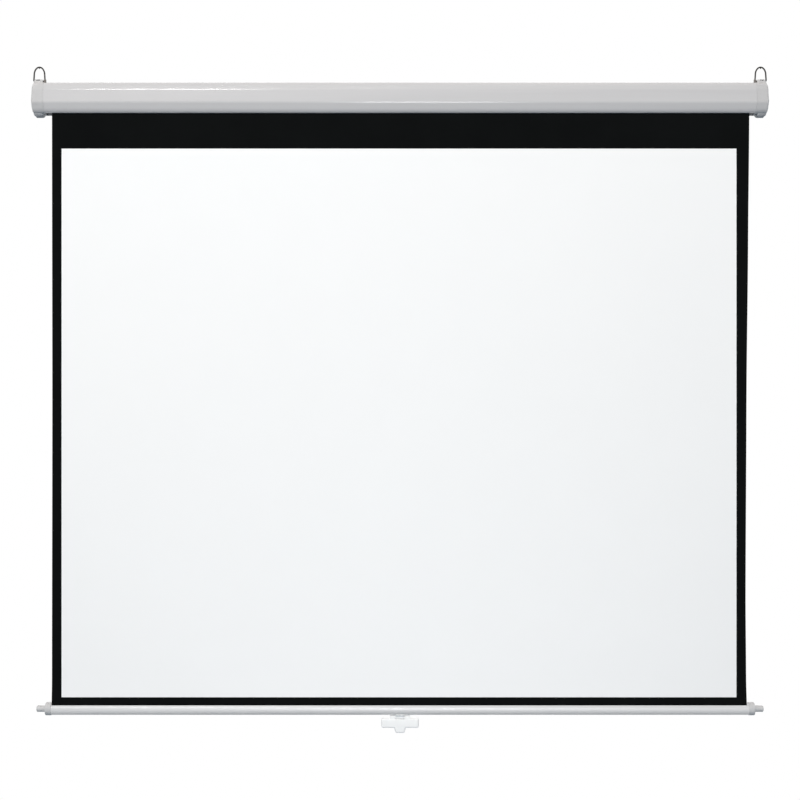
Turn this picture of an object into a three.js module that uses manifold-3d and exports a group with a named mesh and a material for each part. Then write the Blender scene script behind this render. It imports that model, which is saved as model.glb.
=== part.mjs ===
import * as THREE from 'three';
import { mergeVertices } from 'three/addons/utils/BufferGeometryUtils.js';
import Module from 'manifold-3d';

// A wall-mounted pull-down projector screen with a spring roller, fully lowered, in millimetres
// X runs along the screen, -Y is the viewer's side, +Z is up, and the wall is the plane y = 0
// The origin is the middle of the housing's flat rear face

// Clearances that every fit shares
const fit = {
  seat: 0.3, // between pieces that touch
  running: 0.1, // around a shaft that turns in its bore
  overrun: 2, // how far a cutting body reaches past what it cuts
  weld: 0.4, // how deep a rib, port or boss roots in its wall
  merge: 0.001, // vertices nearer than this are one vertex
};

// The extruded case
const housing = {
  beyondRoller: 12, // from the roller tube's end out to the case's end
  depth: 62,
  height: 77,
  wall: 1.3,
  frontTopRadius: 16,
  rearTopRadius: 6,
  creaseDrop: 53, // from the top down to the crease of the front face
  frontSetback: 13, // how far the face below the crease runs back
  rearSetback: 16,
  facetBulge: 1.6,
  mouthFront: 17, // from the front face back to the mouth's front edge
  mouthRear: 43.5,
  lipHeight: 5,
  arcSteps: 6,
  facetSteps: 3,
};

// C-shaped screw ports extruded in the case's corners
const port = { outerRadius: 3.7, boreRadius: 1.75, gap: 1.6, sides: 10 };

// Moulded end caps
const cap = {
  length: 34.5, // beyond the case's end
  crown: 9, // height of the domed end
  wall: 2.6,
  bearingRadius: 11,
  bearingReach: 2, // past the case's end, towards the roller
  socketDepth: 15,
  tabLength: 12,
  tabHeight: 24,
  tabThickness: 2,
  screwTubeRadius: 5.2,
  screwFloor: 4, // material under a screw head
  counterboreRadius: 3.3,
  screwHoleRadius: 1.9,
  domePower: 2.5,
  domeShares: [1, 0.975, 0.9, 0.75, 0.45],
  roundSides: 16,
  holeSides: 10,
};

// The ear on top of each cap that carries a hanging loop
const ear = {
  width: 20.8,
  depth: 14,
  height: 11.3,
  edgeRadius: 3,
  edgeSteps: 3,
  axisHeight: 7.5,
  footDepth: 6,
};

// The cradle below each cap that takes the bar's pin when the screen is up
const cradle = {
  inset: 3, // from the case's end out to the cradle
  width: 24,
  drop: 9,
  frontDepth: 11,
  rearDepth: 47,
  cornerRadius: 8,
  flankRadius: 7,
  arcSteps: 4,
};

// Bent wire loops
const loop = {
  wireRadius: 1.9,
  footHalf: 14.2, // from the loop's middle to each leg at the pivot
  archHalf: 13.3,
  height: 37, // from the pivot up to the middle of the wire at the apex
  bendRadius: 3.4,
  sleeveRadius: 3.4,
  sleeveTop: 5,
  sleeveBottom: 6,
  spurDepth: 3,
  spurHalf: 2.2,
  spurThickness: 2.6,
  sides: 8,
  steps: 30,
  archPoints: 9,
};

// Fabric, down from the roller to the hem in the bottom bar
const fabric = {
  width: 1780,
  imageHeight: 1399, // white area
  header: 90, // black band from the mouth down to the white area
  bottomBorder: 20,
  thickness: 0.4,
  turnsLeft: 1.25, // turns that stay on the roller
  turnPitch: 1,
  turnThickness: 0.45,
  stepsPerTurn: 28,
};

// Roller tube and the plugs in its ends
const roller = {
  beyondFabric: 3, // from the fabric's edge out to the tube's end
  radius: 14,
  wall: 1,
  axisDepth: 35, // from the front face
  axisDrop: 34, // from the top
  flangeThickness: 3,
  plugLength: 24,
  journalRadius: 4,
  journalLength: 18.5,
  sides: 24,
};

// Bearing of the roller's free end, in the right cap
const bush = { wall: 1.9, flangeRadius: 9, flangeThickness: 1.5, length: 12.5 };

// Spring lock at the left end: shaft, ratchet, pawls and return spring
const shaft = {
  radius: 4,
  tangWidth: 8,
  tangThickness: 3,
  tangLength: 14,
  beyondAnchor: 20, // from the spring's anchor on to the shaft's inner end
  clipRadius: 6.5,
  clipThickness: 1.2,
};
const ratchet = {
  radius: 8,
  floorRadius: 5.7,
  thickness: 4,
  notches: 2,
  floorTurnShare: 0.09,
  rampTurnShare: 0.1,
  stepsPerTurn: 32,
};
const pawl = {
  pivotRadius: 11.6, // from the roller's axis to the pawl's pin
  pinRadius: 1.1,
  eyeRadius: 2.2,
  thickness: 3.2,
  armAngle: 52, // degrees round the roller's axis from the pin to the nose
  noseAngle: 13,
  noseRadius: 8.5, // inner edge of the lifted nose
  backRadius: 12.3, // outer edge of the lifted arm
  noseSteps: 2,
  armSteps: 5,
  backSteps: 7,
  sides: 10,
};
const spring = {
  wireRadius: 0.9,
  meanRadius: 9.2,
  pitch: 10,
  turns: 28,
  stepsPerTurn: 8,
  sides: 5,
  spigotLength: 14,
};

// Bottom bar, lowered
const bar = {
  radius: 15.5,
  wall: 1.4,
  behindFabric: 10.2, // from the fabric back to the bar's axis
  hemDrop: 11.6, // from where the fabric enters down to the bar's axis
  raisedDrop: 12, // from the case's underside down to the axis of the raised bar
  hemBoreRadius: 2.6,
  hemBoreRise: 5, // from the bar's axis up to the hem bore's axis
  hemWall: 1.2,
  hemRodRadius: 2,
  slotWidth: 1.6,
  sides: 28,
  hemSides: 12,
};

// Moulded ends of the bottom bar: collar, pin and plug
const barEnd = {
  collarRadius: 16.5,
  collarLength: 15,
  chamfer: 1.2,
  pinRadius: 8,
  pinLength: 23.5,
  pinNose: 3,
  noseShoulderShare: 0.3,
  plugLength: 20,
};

// Handle bracket, its screws and its pin
const bracket = {
  width: 22.4,
  gripAngle: 36, // degrees each side of straight down
  thickness: 2.2,
  pivotDrop: 6, // from the bar's underside down to the pin
  tongueRadius: 4.2,
  tongueThickness: 6,
  screwAngle: 26,
  screwHeadRadius: 2.5,
  screwRadius: 1.3,
  screwLength: 8,
  pinRadius: 1.5,
  arcSteps: 7,
};

// T-shaped pull handle
const handle = {
  width: 96,
  wingHeight: 24.3,
  wingDrop: 2.5, // from the pin down to the top of the wings
  thickness: 10,
  cornerRadius: 5,
  shoulderRadius: 2.4,
  tailTopWidth: 30,
  tailWidth: 22,
  tailLength: 13,
  lugWidth: 14,
  lugRadius: 4.5,
  lugGap: 0.4, // beside the bracket's tongue
  edgeRound: 1.6,
  wall: 2.6,
  pocketDepth: 6,
  ribThickness: 1.8,
  cornerSteps: 4,
};

// Self-tapping screws that hold the end caps
const capScrew = { headRadius: 2.9, headHeight: 2.2, radius: 1.4, length: 16, sides: 8 };

// Finishes
const finishes = {
  casePaint: { color: 0xd6d4d4, roughness: 0.42, metalness: 0.05 },
  capPlastic: { color: 0xcdcccb, roughness: 0.48, metalness: 0 },
  darkWire: { color: 0x4a4846, roughness: 0.3, metalness: 0.9 },
  barAluminium: { color: 0xd8d9db, roughness: 0.34, metalness: 0.55 },
  barPlastic: { color: 0xd0d0d0, roughness: 0.45, metalness: 0 },
  handlePlastic: { color: 0xf4f4f3, roughness: 0.35, metalness: 0 },
  screenFabric: { color: 0xf2f2f2, roughness: 0.9, metalness: 0 },
  rollerSteel: { color: 0xa9adb1, roughness: 0.4, metalness: 0.85 },
  springSteel: { color: 0x6f7276, roughness: 0.35, metalness: 0.9 },
  nylon: { color: 0xe6e3da, roughness: 0.55, metalness: 0 },
  zincSteel: { color: 0xb9bcc0, roughness: 0.35, metalness: 0.9 },
};

// Places worked out from the sizes above
const rollerEnd = fabric.width / 2 + roller.beyondFabric;
const caseEnd = rollerEnd + housing.beyondRoller;
const topZ = (housing.rearTopRadius + housing.creaseDrop) / 2;
const creaseZ = topZ - housing.creaseDrop;
const bottomZ = topZ - housing.height;
const frontY = -housing.depth;
const capRim = caseEnd + fit.seat;
const capEnd = caseEnd + cap.length;
const rollerY = frontY + roller.axisDepth;
const rollerZ = topZ - roller.axisDrop;
const wrapRise = fabric.turnPitch * fabric.turnsLeft + fabric.turnThickness;
const wrapOuterRadius = roller.radius + fit.seat + wrapRise;
const fabricY = rollerY - wrapOuterRadius - fit.seat - fabric.thickness / 2;
const barY = fabricY + bar.behindFabric;
const hemEntryZ = bottomZ - fabric.header - fabric.imageHeight - fabric.bottomBorder;
const barZ = hemEntryZ - bar.hemDrop;
const raisedBarZ = bottomZ - bar.raisedDrop;
const loopX = caseEnd + ear.width / 2 + loop.wireRadius * 2 + fit.seat * 2 + loop.sleeveRadius;
const loopY = frontY + housing.depth / 2;
const loopZ = topZ + ear.axisHeight;
const handlePivotZ = barZ - bar.radius - bracket.pivotDrop;
const bearingFace = caseEnd - cap.bearingReach;
const socketEnd = bearingFace + cap.socketDepth;
const degree = Math.PI / 180;

const wasm = await Module();
wasm.setup();

const xAxis = new THREE.Vector3(1, 0, 0);
const yAxis = new THREE.Vector3(0, 1, 0);
const zAxis = new THREE.Vector3(0, 0, 1);

// A closed three.js geometry as a solid that can be joined and cut
function solid(geometry) {
  const bare = geometry.index ? geometry.toNonIndexed() : geometry.clone();
  bare.deleteAttribute('normal');
  bare.deleteAttribute('uv');
  const welded = mergeVertices(bare, fit.merge);
  const corners = [];
  for (let i = 0; i < welded.index.count; i += 3) {
    const [a, b, c] = [0, 1, 2].map((k) => welded.index.getX(i + k));
    if (a !== b && b !== c && c !== a) corners.push(a, b, c);
  }
  const vertProperties = welded.attributes.position.array;
  const triVerts = new Uint32Array(corners);
  return new wasm.Manifold(new wasm.Mesh({ numProp: 3, vertProperties, triVerts }));
}

function geometryOf(manifold) {
  const mesh = manifold.getMesh();
  const geometry = new THREE.BufferGeometry();
  geometry.setAttribute('position', new THREE.BufferAttribute(new Float32Array(mesh.vertProperties), 3));
  geometry.setIndex(new THREE.BufferAttribute(new Uint32Array(mesh.triVerts), 1));
  geometry.computeVertexNormals();
  return geometry;
}

function join(first, ...others) {
  return others.reduce((whole, next) => whole.add(next), first);
}

function cut(first, ...others) {
  return others.reduce((whole, next) => whole.subtract(next), first);
}

function piece(name, manifold, finish) {
  const mesh = new THREE.Mesh(geometryOf(manifold), new THREE.MeshStandardMaterial(finish));
  mesh.name = name;
  return mesh;
}

// Points of an arc about a centre, both ends included, angles in degrees
function arcPoints(centreX, centreY, radius, fromAngle, toAngle, steps) {
  const points = [];
  for (let i = 0; i <= steps; i += 1) {
    const angle = (fromAngle + ((toAngle - fromAngle) * i) / steps) * degree;
    points.push([centreX + radius * Math.cos(angle), centreY + radius * Math.sin(angle)]);
  }
  return points;
}

function circlePoints(centreX, centreY, radius, sides) {
  return arcPoints(centreX, centreY, radius, 0, 360, sides).slice(0, sides);
}

// The vertex radius at which a many-sided hole still clears a round of this radius
function holeRadius(radius, sides) {
  return radius / Math.cos(Math.PI / sides);
}

function shapeOf(points) {
  return new THREE.Shape(points.map(([x, y]) => new THREE.Vector2(x, y)));
}

// An outline in (y, z), extruded along X
function alongX(points, from, to) {
  const geometry = new THREE.ExtrudeGeometry(shapeOf(points), { depth: to - from, bevelEnabled: false });
  geometry.applyMatrix4(new THREE.Matrix4().makeBasis(yAxis, zAxis, xAxis));
  geometry.translate(from, 0, 0);
  return solid(geometry);
}

// An outline in (x, z), extruded from a rear y towards the viewer
function towardsFront(points, rearY, thickness, bevel = 0) {
  const geometry = new THREE.ExtrudeGeometry(shapeOf(points), {
    depth: thickness - bevel * 2,
    bevelEnabled: bevel > 0,
    bevelThickness: bevel,
    bevelSize: bevel,
    bevelOffset: -bevel,
    bevelSegments: 2,
  });
  geometry.applyMatrix4(new THREE.Matrix4().makeBasis(xAxis, zAxis, yAxis.clone().negate()));
  geometry.translate(0, rearY - bevel, 0);
  return solid(geometry);
}

function boxBetween(low, high) {
  const size = high.map((value, axis) => value - low[axis]);
  const geometry = new THREE.BoxGeometry(...size);
  geometry.translate(...low.map((value, axis) => value + size[axis] / 2));
  return solid(geometry);
}

function roundAlongX(y, z, radius, from, to, sides) {
  return alongX(circlePoints(y, z, radius, sides), from, to);
}

// A profile of [radius, x] pairs turned about an axis along X
function turnedAlongX(profile, y, z, sides) {
  const points = profile.map(([radius, along]) => new THREE.Vector2(radius, along));
  const geometry = new THREE.LatheGeometry(points, sides);
  geometry.applyMatrix4(new THREE.Matrix4().makeBasis(yAxis, xAxis, zAxis.clone().negate()));
  geometry.rotateX(Math.PI / 2);
  geometry.translate(0, y, z);
  return solid(geometry);
}

// A convex outline with every edge moved inwards by the same distance
function inset(points, distance) {
  return points.map((point, i) => {
    const before = points[(i + points.length - 1) % points.length];
    const after = points[(i + 1) % points.length];
    const normals = [[before, point], [point, after]].map(([from, to]) => {
      const run = [to[0] - from[0], to[1] - from[1]];
      const length = Math.hypot(...run);
      return [-run[1] / length, run[0] / length];
    });
    const together = 1 + normals[0][0] * normals[1][0] + normals[0][1] * normals[1][1];
    const share = distance / together;
    return [0, 1].map((axis) => point[axis] + share * (normals[0][axis] + normals[1][axis]));
  });
}

// Rings of [x, y, z] points with equal counts, closed at both ends by a fan about the ring's middle
function loft(rings) {
  const count = rings[0].length;
  const total = (ring, axis) => ring.reduce((sum, point) => sum + point[axis], 0);
  const middle = (ring) => [0, 1, 2].map((axis) => total(ring, axis) / count);
  const vertices = [...rings.flat(), middle(rings[0]), middle(rings[rings.length - 1])];
  const startMiddle = vertices.length - 2;
  const endMiddle = vertices.length - 1;
  const lastRing = (rings.length - 1) * count;
  const corners = [];
  for (let i = 0; i < count; i += 1) {
    const next = (i + 1) % count;
    corners.push(startMiddle, next, i);
    corners.push(endMiddle, lastRing + i, lastRing + next);
    for (let ring = 0; ring < rings.length - 1; ring += 1) {
      const near = ring * count;
      const far = near + count;
      corners.push(near + i, near + next, far + next);
      corners.push(near + i, far + next, far + i);
    }
  }
  const geometry = new THREE.BufferGeometry();
  geometry.setAttribute('position', new THREE.Float32BufferAttribute(vertices.flat(), 3));
  geometry.setIndex(corners);
  return solid(geometry);
}

// Points of a face that runs down and bulges out a little between two corners
function facetPoints(from, to, bulge) {
  const run = [to[0] - from[0], to[1] - from[1]];
  const length = Math.hypot(...run);
  const outwards = [run[1] / length, -run[0] / length];
  const points = [];
  for (let i = 1; i < housing.facetSteps; i += 1) {
    const share = i / housing.facetSteps;
    const rise = 4 * bulge * share * (1 - share);
    points.push([0, 1].map((axis) => from[axis] + run[axis] * share + outwards[axis] * rise));
  }
  return points;
}

// The case's outline in (y, z), anticlockwise from the underside's front edge
function caseOutline() {
  const undersideFront = [frontY + housing.frontSetback, bottomZ];
  const undersideRear = [-housing.rearSetback, bottomZ];
  const frontCrease = [frontY, creaseZ];
  const rearCrease = [0, creaseZ];
  const rearArc = [-housing.rearTopRadius, topZ - housing.rearTopRadius, housing.rearTopRadius];
  const frontArc = [frontY + housing.frontTopRadius, topZ - housing.frontTopRadius, housing.frontTopRadius];
  return [
    undersideFront,
    undersideRear,
    ...facetPoints(undersideRear, rearCrease, housing.facetBulge),
    rearCrease,
    ...arcPoints(...rearArc, 0, 90, housing.arcSteps),
    ...arcPoints(...frontArc, 90, 180, housing.arcSteps),
    frontCrease,
    ...facetPoints(frontCrease, undersideFront, housing.facetBulge),
  ];
}

const outline = caseOutline();

// Middles of the four screw ports, in (y, z), each against the walls of its corner
function portPlaces() {
  const reach = housing.wall + port.outerRadius;
  const inCorner = housing.frontTopRadius - (housing.frontTopRadius - reach + fit.weld) * Math.SQRT1_2;
  return [
    [frontY + inCorner, topZ - inCorner],
    [-reach, topZ - reach],
    [-reach + fit.weld, creaseZ + port.outerRadius],
    [frontY + reach - fit.weld, creaseZ + port.outerRadius],
  ];
}

const ports = portPlaces();

function screwPort([y, z]) {
  return roundAlongX(y, z, port.outerRadius, -caseEnd, caseEnd, port.sides);
}

// The bore of a port and the gap that opens it towards the middle of the case
function portBore([y, z]) {
  const from = -caseEnd - fit.overrun;
  const to = caseEnd + fit.overrun;
  const bore = roundAlongX(y, z, port.boreRadius, from, to, port.sides);
  const towards = [rollerY - y, rollerZ - z];
  const length = Math.hypot(...towards);
  const along = towards.map((value) => value / length);
  const reach = port.outerRadius + fit.overrun;
  const corner = (out, side) => [
    y + along[0] * out - along[1] * side * (port.gap / 2),
    z + along[1] * out + along[0] * side * (port.gap / 2),
  ];
  return bore.add(alongX([corner(0, -1), corner(reach, -1), corner(reach, 1), corner(0, 1)], from, to));
}

function housingShell() {
  const inner = inset(outline, housing.wall);
  const from = -caseEnd - fit.overrun;
  const to = caseEnd + fit.overrun;
  const mouthFrontY = frontY + housing.mouthFront;
  const mouthRearY = frontY + housing.mouthRear;
  const lipTop = bottomZ + housing.lipHeight;
  const mouth = boxBetween([from, mouthFrontY, bottomZ - fit.overrun], [to, mouthRearY, lipTop]);
  const lip = (y) => boxBetween([-caseEnd, y, bottomZ], [caseEnd, y + housing.wall, lipTop]);
  const walls = cut(alongX(outline, -caseEnd, caseEnd), alongX(inner, from, to), mouth);
  const lips = [lip(mouthFrontY - housing.wall), lip(mouthRearY)];
  return cut(join(walls, ...lips, ...ports.map(screwPort)), ...ports.map(portBore));
}

// End caps are built for the +X end; those of the -X end lie in a mirrored group

// A straight-sided body along X with a domed end, over any outline
function domedBody(points, from, tip) {
  const middleY = frontY + housing.depth / 2;
  const middleZ = (topZ + bottomZ) / 2;
  const rings = cap.domeShares.map((share) => {
    const rise = cap.crown * (1 - share ** cap.domePower) ** (1 / cap.domePower);
    const x = tip - cap.crown + rise;
    return points.map(([y, z]) => [x, middleY + (y - middleY) * share, middleZ + (z - middleZ) * share]);
  });
  return loft([points.map(([y, z]) => [from, y, z]), ...rings]);
}

// Two plates that slide inside the case's front and rear walls
function locatingTabs() {
  const gap = housing.wall + fit.seat;
  const plate = gap + cap.tabThickness;
  const middleZ = (topZ - housing.frontTopRadius + creaseZ + port.outerRadius) / 2;
  const low = middleZ - cap.tabHeight / 2;
  const high = middleZ + cap.tabHeight / 2;
  const innerX = caseEnd - cap.tabLength;
  const rootX = capRim + cap.wall;
  return [
    boxBetween([innerX, frontY + gap, low], [rootX, frontY + plate, high]),
    boxBetween([innerX, -plate, low], [rootX, -gap, high]),
  ];
}

// The ear's outline in (x, z), rounded at its two upper corners
function earBlock() {
  const left = loopX - ear.width / 2;
  const right = loopX + ear.width / 2;
  const top = topZ + ear.height;
  const r = ear.edgeRadius;
  const points = [
    [left, topZ - cap.wall],
    [right, topZ - cap.wall],
    ...arcPoints(right - r, top - r, r, 0, 90, ear.edgeSteps),
    ...arcPoints(left + r, top - r, r, 90, 180, ear.edgeSteps),
  ];
  return towardsFront(points, loopY + ear.depth / 2, ear.depth);
}

function earBores() {
  const radius = holeRadius(loop.wireRadius + fit.seat, cap.holeSides);
  const left = loopX - ear.width / 2;
  const right = loopX + ear.width / 2;
  return [
    roundAlongX(loopY, loopZ, radius, left - fit.overrun, left + ear.footDepth, cap.holeSides),
    roundAlongX(loopY, loopZ, radius, right - ear.footDepth, right + fit.overrun, cap.holeSides),
  ];
}

const cradleX = caseEnd + cradle.inset + cradle.width / 2;

// A rounded block: its front outline and its end outline, where they cross
function cradleBlock() {
  const left = cradleX - cradle.width / 2;
  const right = cradleX + cradle.width / 2;
  const low = bottomZ - cradle.drop;
  const root = bottomZ + cap.wall;
  const front = frontY + cradle.frontDepth;
  const rear = frontY + cradle.rearDepth;
  const r = cradle.cornerRadius;
  const f = cradle.flankRadius;
  const frontView = [
    ...arcPoints(left + r, low + r, r, 180, 270, cradle.arcSteps),
    ...arcPoints(right - r, low + r, r, 270, 360, cradle.arcSteps),
    [right, root],
    [left, root],
  ];
  const endView = [
    ...arcPoints(front + f, low + f, f, 180, 270, cradle.arcSteps),
    ...arcPoints(rear - f, low + f, f, 270, 360, cradle.arcSteps),
    [rear, root],
    [front, root],
  ];
  const sideways = alongX(endView, left - fit.overrun, right + fit.overrun);
  return towardsFront(frontView, rear, cradle.rearDepth - cradle.frontDepth).intersect(sideways);
}

function cradleRecess() {
  const radius = holeRadius(barEnd.pinRadius + fit.seat, cap.roundSides);
  const from = cradleX - cradle.width / 2 - fit.overrun;
  const to = cradleX + cradle.width / 2 + fit.overrun;
  return roundAlongX(barY, raisedBarZ, radius, from, to, cap.roundSides);
}

function screwTube([y, z]) {
  return roundAlongX(y, z, cap.screwTubeRadius, capRim, capEnd, cap.holeSides);
}

function screwHole([y, z]) {
  const floor = capRim + cap.screwFloor;
  const from = capRim - fit.overrun;
  const to = capEnd + fit.overrun;
  const shank = roundAlongX(y, z, cap.screwHoleRadius, from, to, cap.holeSides);
  const head = roundAlongX(y, z, cap.counterboreRadius, floor, to, cap.holeSides);
  return shank.add(head);
}

// The screw tubes and the bearing stop at the cap's outer skin
function endCap(socket) {
  const outside = domedBody(outline, capRim, capEnd);
  const hollow = domedBody(inset(outline, cap.wall), capRim - fit.overrun, capEnd - cap.wall);
  const bearing = roundAlongX(rollerY, rollerZ, cap.bearingRadius, capRim, capEnd, cap.roundSides);
  const inside = join(bearing, ...ports.map(screwTube)).intersect(outside);
  const nose = roundAlongX(rollerY, rollerZ, cap.bearingRadius, bearingFace, socketEnd, cap.roundSides);
  const body = join(cut(outside, hollow), inside, nose, ...locatingTabs(), earBlock(), cradleBlock());
  return cut(body, socket, cradleRecess(), ...ports.map(screwHole), ...earBores());
}

function tangSocket() {
  const halfWidth = shaft.tangWidth / 2 + fit.seat;
  const halfThickness = shaft.tangThickness / 2 + fit.seat;
  return boxBetween(
    [bearingFace - fit.overrun, rollerY - halfThickness, rollerZ - halfWidth],
    [socketEnd, rollerY + halfThickness, rollerZ + halfWidth],
  );
}

function bushSocket() {
  const radius = roller.journalRadius + fit.running + bush.wall + fit.seat;
  return roundAlongX(rollerY, rollerZ, radius, bearingFace - fit.overrun, socketEnd, cap.roundSides);
}

function capScrewAt([y, z]) {
  const headEnd = capRim + cap.screwFloor + fit.seat;
  const tip = headEnd - capScrew.length;
  const profile = [
    [0, tip],
    [capScrew.radius / 2, tip],
    [capScrew.radius, tip + capScrew.radius],
    [capScrew.radius, headEnd],
    [capScrew.headRadius, headEnd],
    [capScrew.headRadius, headEnd + capScrew.headHeight / 2],
    [capScrew.headRadius / 2, headEnd + capScrew.headHeight],
    [0, headEnd + capScrew.headHeight],
  ];
  return turnedAlongX(profile, y, z, capScrew.sides);
}

// A hanging loop about its own pivot: two feet turned inwards, two legs and an arch
class LoopPath extends THREE.CurvePath {
  constructor() {
    super();
    const foot = ear.width / 2 - ear.footDepth + fit.seat;
    const bend = loop.bendRadius;
    const archRise = loop.height - loop.archHalf;
    const points = [];
    const addSide = (side) => {
      const leg = loop.footHalf * side;
      const arch = loop.archHalf * side;
      const footEnd = new THREE.Vector3(foot * side, 0, 0);
      const bendStart = new THREE.Vector3(leg - bend * side, 0, 0);
      const corner = new THREE.Vector3(leg, 0, 0);
      const bendEnd = new THREE.Vector3(leg, 0, bend);
      const legEnd = new THREE.Vector3(arch, 0, archRise);
      return [
        new THREE.LineCurve3(footEnd, bendStart),
        new THREE.QuadraticBezierCurve3(bendStart, corner, bendEnd),
        new THREE.LineCurve3(bendEnd, legEnd),
      ];
    };
    const reversed = (curve) => {
      if (curve.isLineCurve3) return new THREE.LineCurve3(curve.v2, curve.v1);
      return new THREE.QuadraticBezierCurve3(curve.v2, curve.v1, curve.v0);
    };
    for (let i = 0; i <= loop.archPoints; i += 1) {
      const angle = Math.PI * (1 - i / loop.archPoints);
      const x = Math.cos(angle) * loop.archHalf;
      const z = archRise + Math.sin(angle) * loop.archHalf;
      points.push(new THREE.Vector3(x, 0, z));
    }
    addSide(-1).forEach((curve) => this.add(curve));
    this.add(new THREE.CatmullRomCurve3(points));
    addSide(1).reverse().forEach((curve) => this.add(reversed(curve)));
  }
}

function hangingLoop() {
  const section = shapeOf(circlePoints(0, 0, loop.wireRadius, loop.sides));
  const wire = new THREE.ExtrudeGeometry(section, { steps: loop.steps, extrudePath: new LoopPath() });
  const top = loop.height;
  const spurTop = top - loop.wireRadius / 2;
  const spurTip = top - loop.wireRadius - loop.spurDepth;
  const spur = towardsFront(
    [[-loop.spurHalf, spurTop], [0, spurTip], [loop.spurHalf, spurTop]],
    loop.spurThickness / 2,
    loop.spurThickness,
  );
  const sleeve = new THREE.CylinderGeometry(
    loop.sleeveRadius,
    loop.sleeveRadius,
    loop.sleeveTop + loop.sleeveBottom,
    cap.holeSides,
  );
  sleeve.rotateX(Math.PI / 2);
  sleeve.translate(-loop.footHalf, 0, (loop.sleeveTop - loop.sleeveBottom) / 2);
  const placed = join(solid(wire), spur, solid(sleeve));
  return placed.translate([loopX, loopY, loopZ]);
}

function tubeAlongX(y, z, outer, inner, from, to, sides) {
  const bore = roundAlongX(y, z, inner, from - fit.overrun, to + fit.overrun, sides);
  return roundAlongX(y, z, outer, from, to, sides).subtract(bore);
}

function rollerTube() {
  const inner = roller.radius - roller.wall;
  return tubeAlongX(rollerY, rollerZ, roller.radius, inner, -rollerEnd, rollerEnd, roller.sides);
}

// The turns of fabric that never leave the roller
function fabricWrap() {
  const steps = Math.round(fabric.stepsPerTurn * fabric.turnsLeft);
  const startRadius = holeRadius(roller.radius + fit.seat, fabric.stepsPerTurn);
  const outer = [];
  const inner = [];
  for (let i = 0; i <= steps; i += 1) {
    const turned = (fabric.turnsLeft * i) / steps;
    const angle = Math.PI - (fabric.turnsLeft - turned) * 2 * Math.PI;
    const radius = startRadius + fabric.turnPitch * turned;
    const place = (r) => [rollerY + r * Math.cos(angle), rollerZ + r * Math.sin(angle)];
    inner.push(place(radius));
    outer.push(place(radius + fabric.turnThickness));
  }
  return alongX([...outer, ...inner.reverse()], -fabric.width / 2, fabric.width / 2);
}

const plugRadius = roller.radius - roller.wall - fit.seat;
const flangeStart = rollerEnd + fit.seat;
const flangeEnd = flangeStart + roller.flangeThickness;
const ratchetStart = flangeEnd + fit.seat * 2;
const springFlat = spring.meanRadius * Math.cos(Math.PI / spring.stepsPerTurn);
const spigotRadius = springFlat - spring.wireRadius - fit.seat;
const springEnd = rollerEnd - roller.plugLength - fit.seat - spring.wireRadius;
const springStart = springEnd - spring.pitch * spring.turns;
const anchorFace = springStart - fit.seat - spring.wireRadius;

function idlePlug() {
  const plugStart = rollerEnd - roller.plugLength;
  const profile = [
    [0, plugStart],
    [plugRadius, plugStart],
    [plugRadius, flangeStart],
    [roller.radius, flangeStart],
    [roller.radius, flangeEnd],
    [roller.journalRadius, flangeEnd],
    [roller.journalRadius, flangeEnd + roller.journalLength],
    [0, flangeEnd + roller.journalLength],
  ];
  return turnedAlongX(profile, rollerY, rollerZ, roller.sides);
}

function idleBush() {
  const inner = holeRadius(roller.journalRadius + fit.running, roller.sides);
  const outer = roller.journalRadius + fit.running + bush.wall;
  const flangeRear = bearingFace - fit.seat;
  const flangeFront = flangeRear - bush.flangeThickness;
  const sleeveEnd = flangeRear + bush.length;
  const profile = [
    [inner, flangeFront],
    [bush.flangeRadius, flangeFront],
    [bush.flangeRadius, flangeRear],
    [outer, flangeRear],
    [outer, sleeveEnd],
    [inner, sleeveEnd],
    [inner, flangeFront],
  ];
  return turnedAlongX(profile, rollerY, rollerZ, roller.sides);
}

// The spring lock is built for the +X end too, and its group is mirrored to the left end
function pawlPin(index) {
  const angle = 90 + 180 * index;
  return [
    rollerY + pawl.pivotRadius * Math.cos(angle * degree),
    rollerZ + pawl.pivotRadius * Math.sin(angle * degree),
  ];
}

function drivePlug() {
  const plugStart = rollerEnd - roller.plugLength;
  const profile = [
    [0, plugStart - spring.spigotLength],
    [spigotRadius, plugStart - spring.spigotLength],
    [spigotRadius, plugStart],
    [plugRadius, plugStart],
    [plugRadius, flangeStart],
    [roller.radius, flangeStart],
    [roller.radius, flangeEnd],
    [0, flangeEnd],
  ];
  const body = turnedAlongX(profile, rollerY, rollerZ, roller.sides);
  const boreRadius = holeRadius(shaft.radius + fit.running, roller.sides);
  const boreStart = plugStart - spring.spigotLength - fit.overrun;
  const bore = roundAlongX(rollerY, rollerZ, boreRadius, boreStart, flangeEnd + fit.overrun, roller.sides);
  const pinEnd = ratchetStart + ratchet.thickness;
  const pins = [0, 1].map((index) => {
    const [y, z] = pawlPin(index);
    return roundAlongX(y, z, pawl.pinRadius, flangeEnd - fit.weld, pinEnd, pawl.sides);
  });
  return join(body.subtract(bore), ...pins);
}

function springShaft() {
  const tangStart = bearingFace;
  const tangEnd = tangStart + shaft.tangLength;
  const rodStart = anchorFace - spring.spigotLength - shaft.beyondAnchor;
  const rod = roundAlongX(rollerY, rollerZ, shaft.radius, rodStart, tangStart - fit.seat, roller.sides);
  const tang = boxBetween(
    [tangStart - fit.overrun, rollerY - shaft.tangThickness / 2, rollerZ - shaft.tangWidth / 2],
    [tangEnd, rollerY + shaft.tangThickness / 2, rollerZ + shaft.tangWidth / 2],
  );
  return rod.add(tang);
}

// The notch starts a nose's width short of the lifted nose, where the nose swings down to
const notchStartShare = (90 - pawl.armAngle - pawl.noseAngle * 2) / 360;

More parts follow.
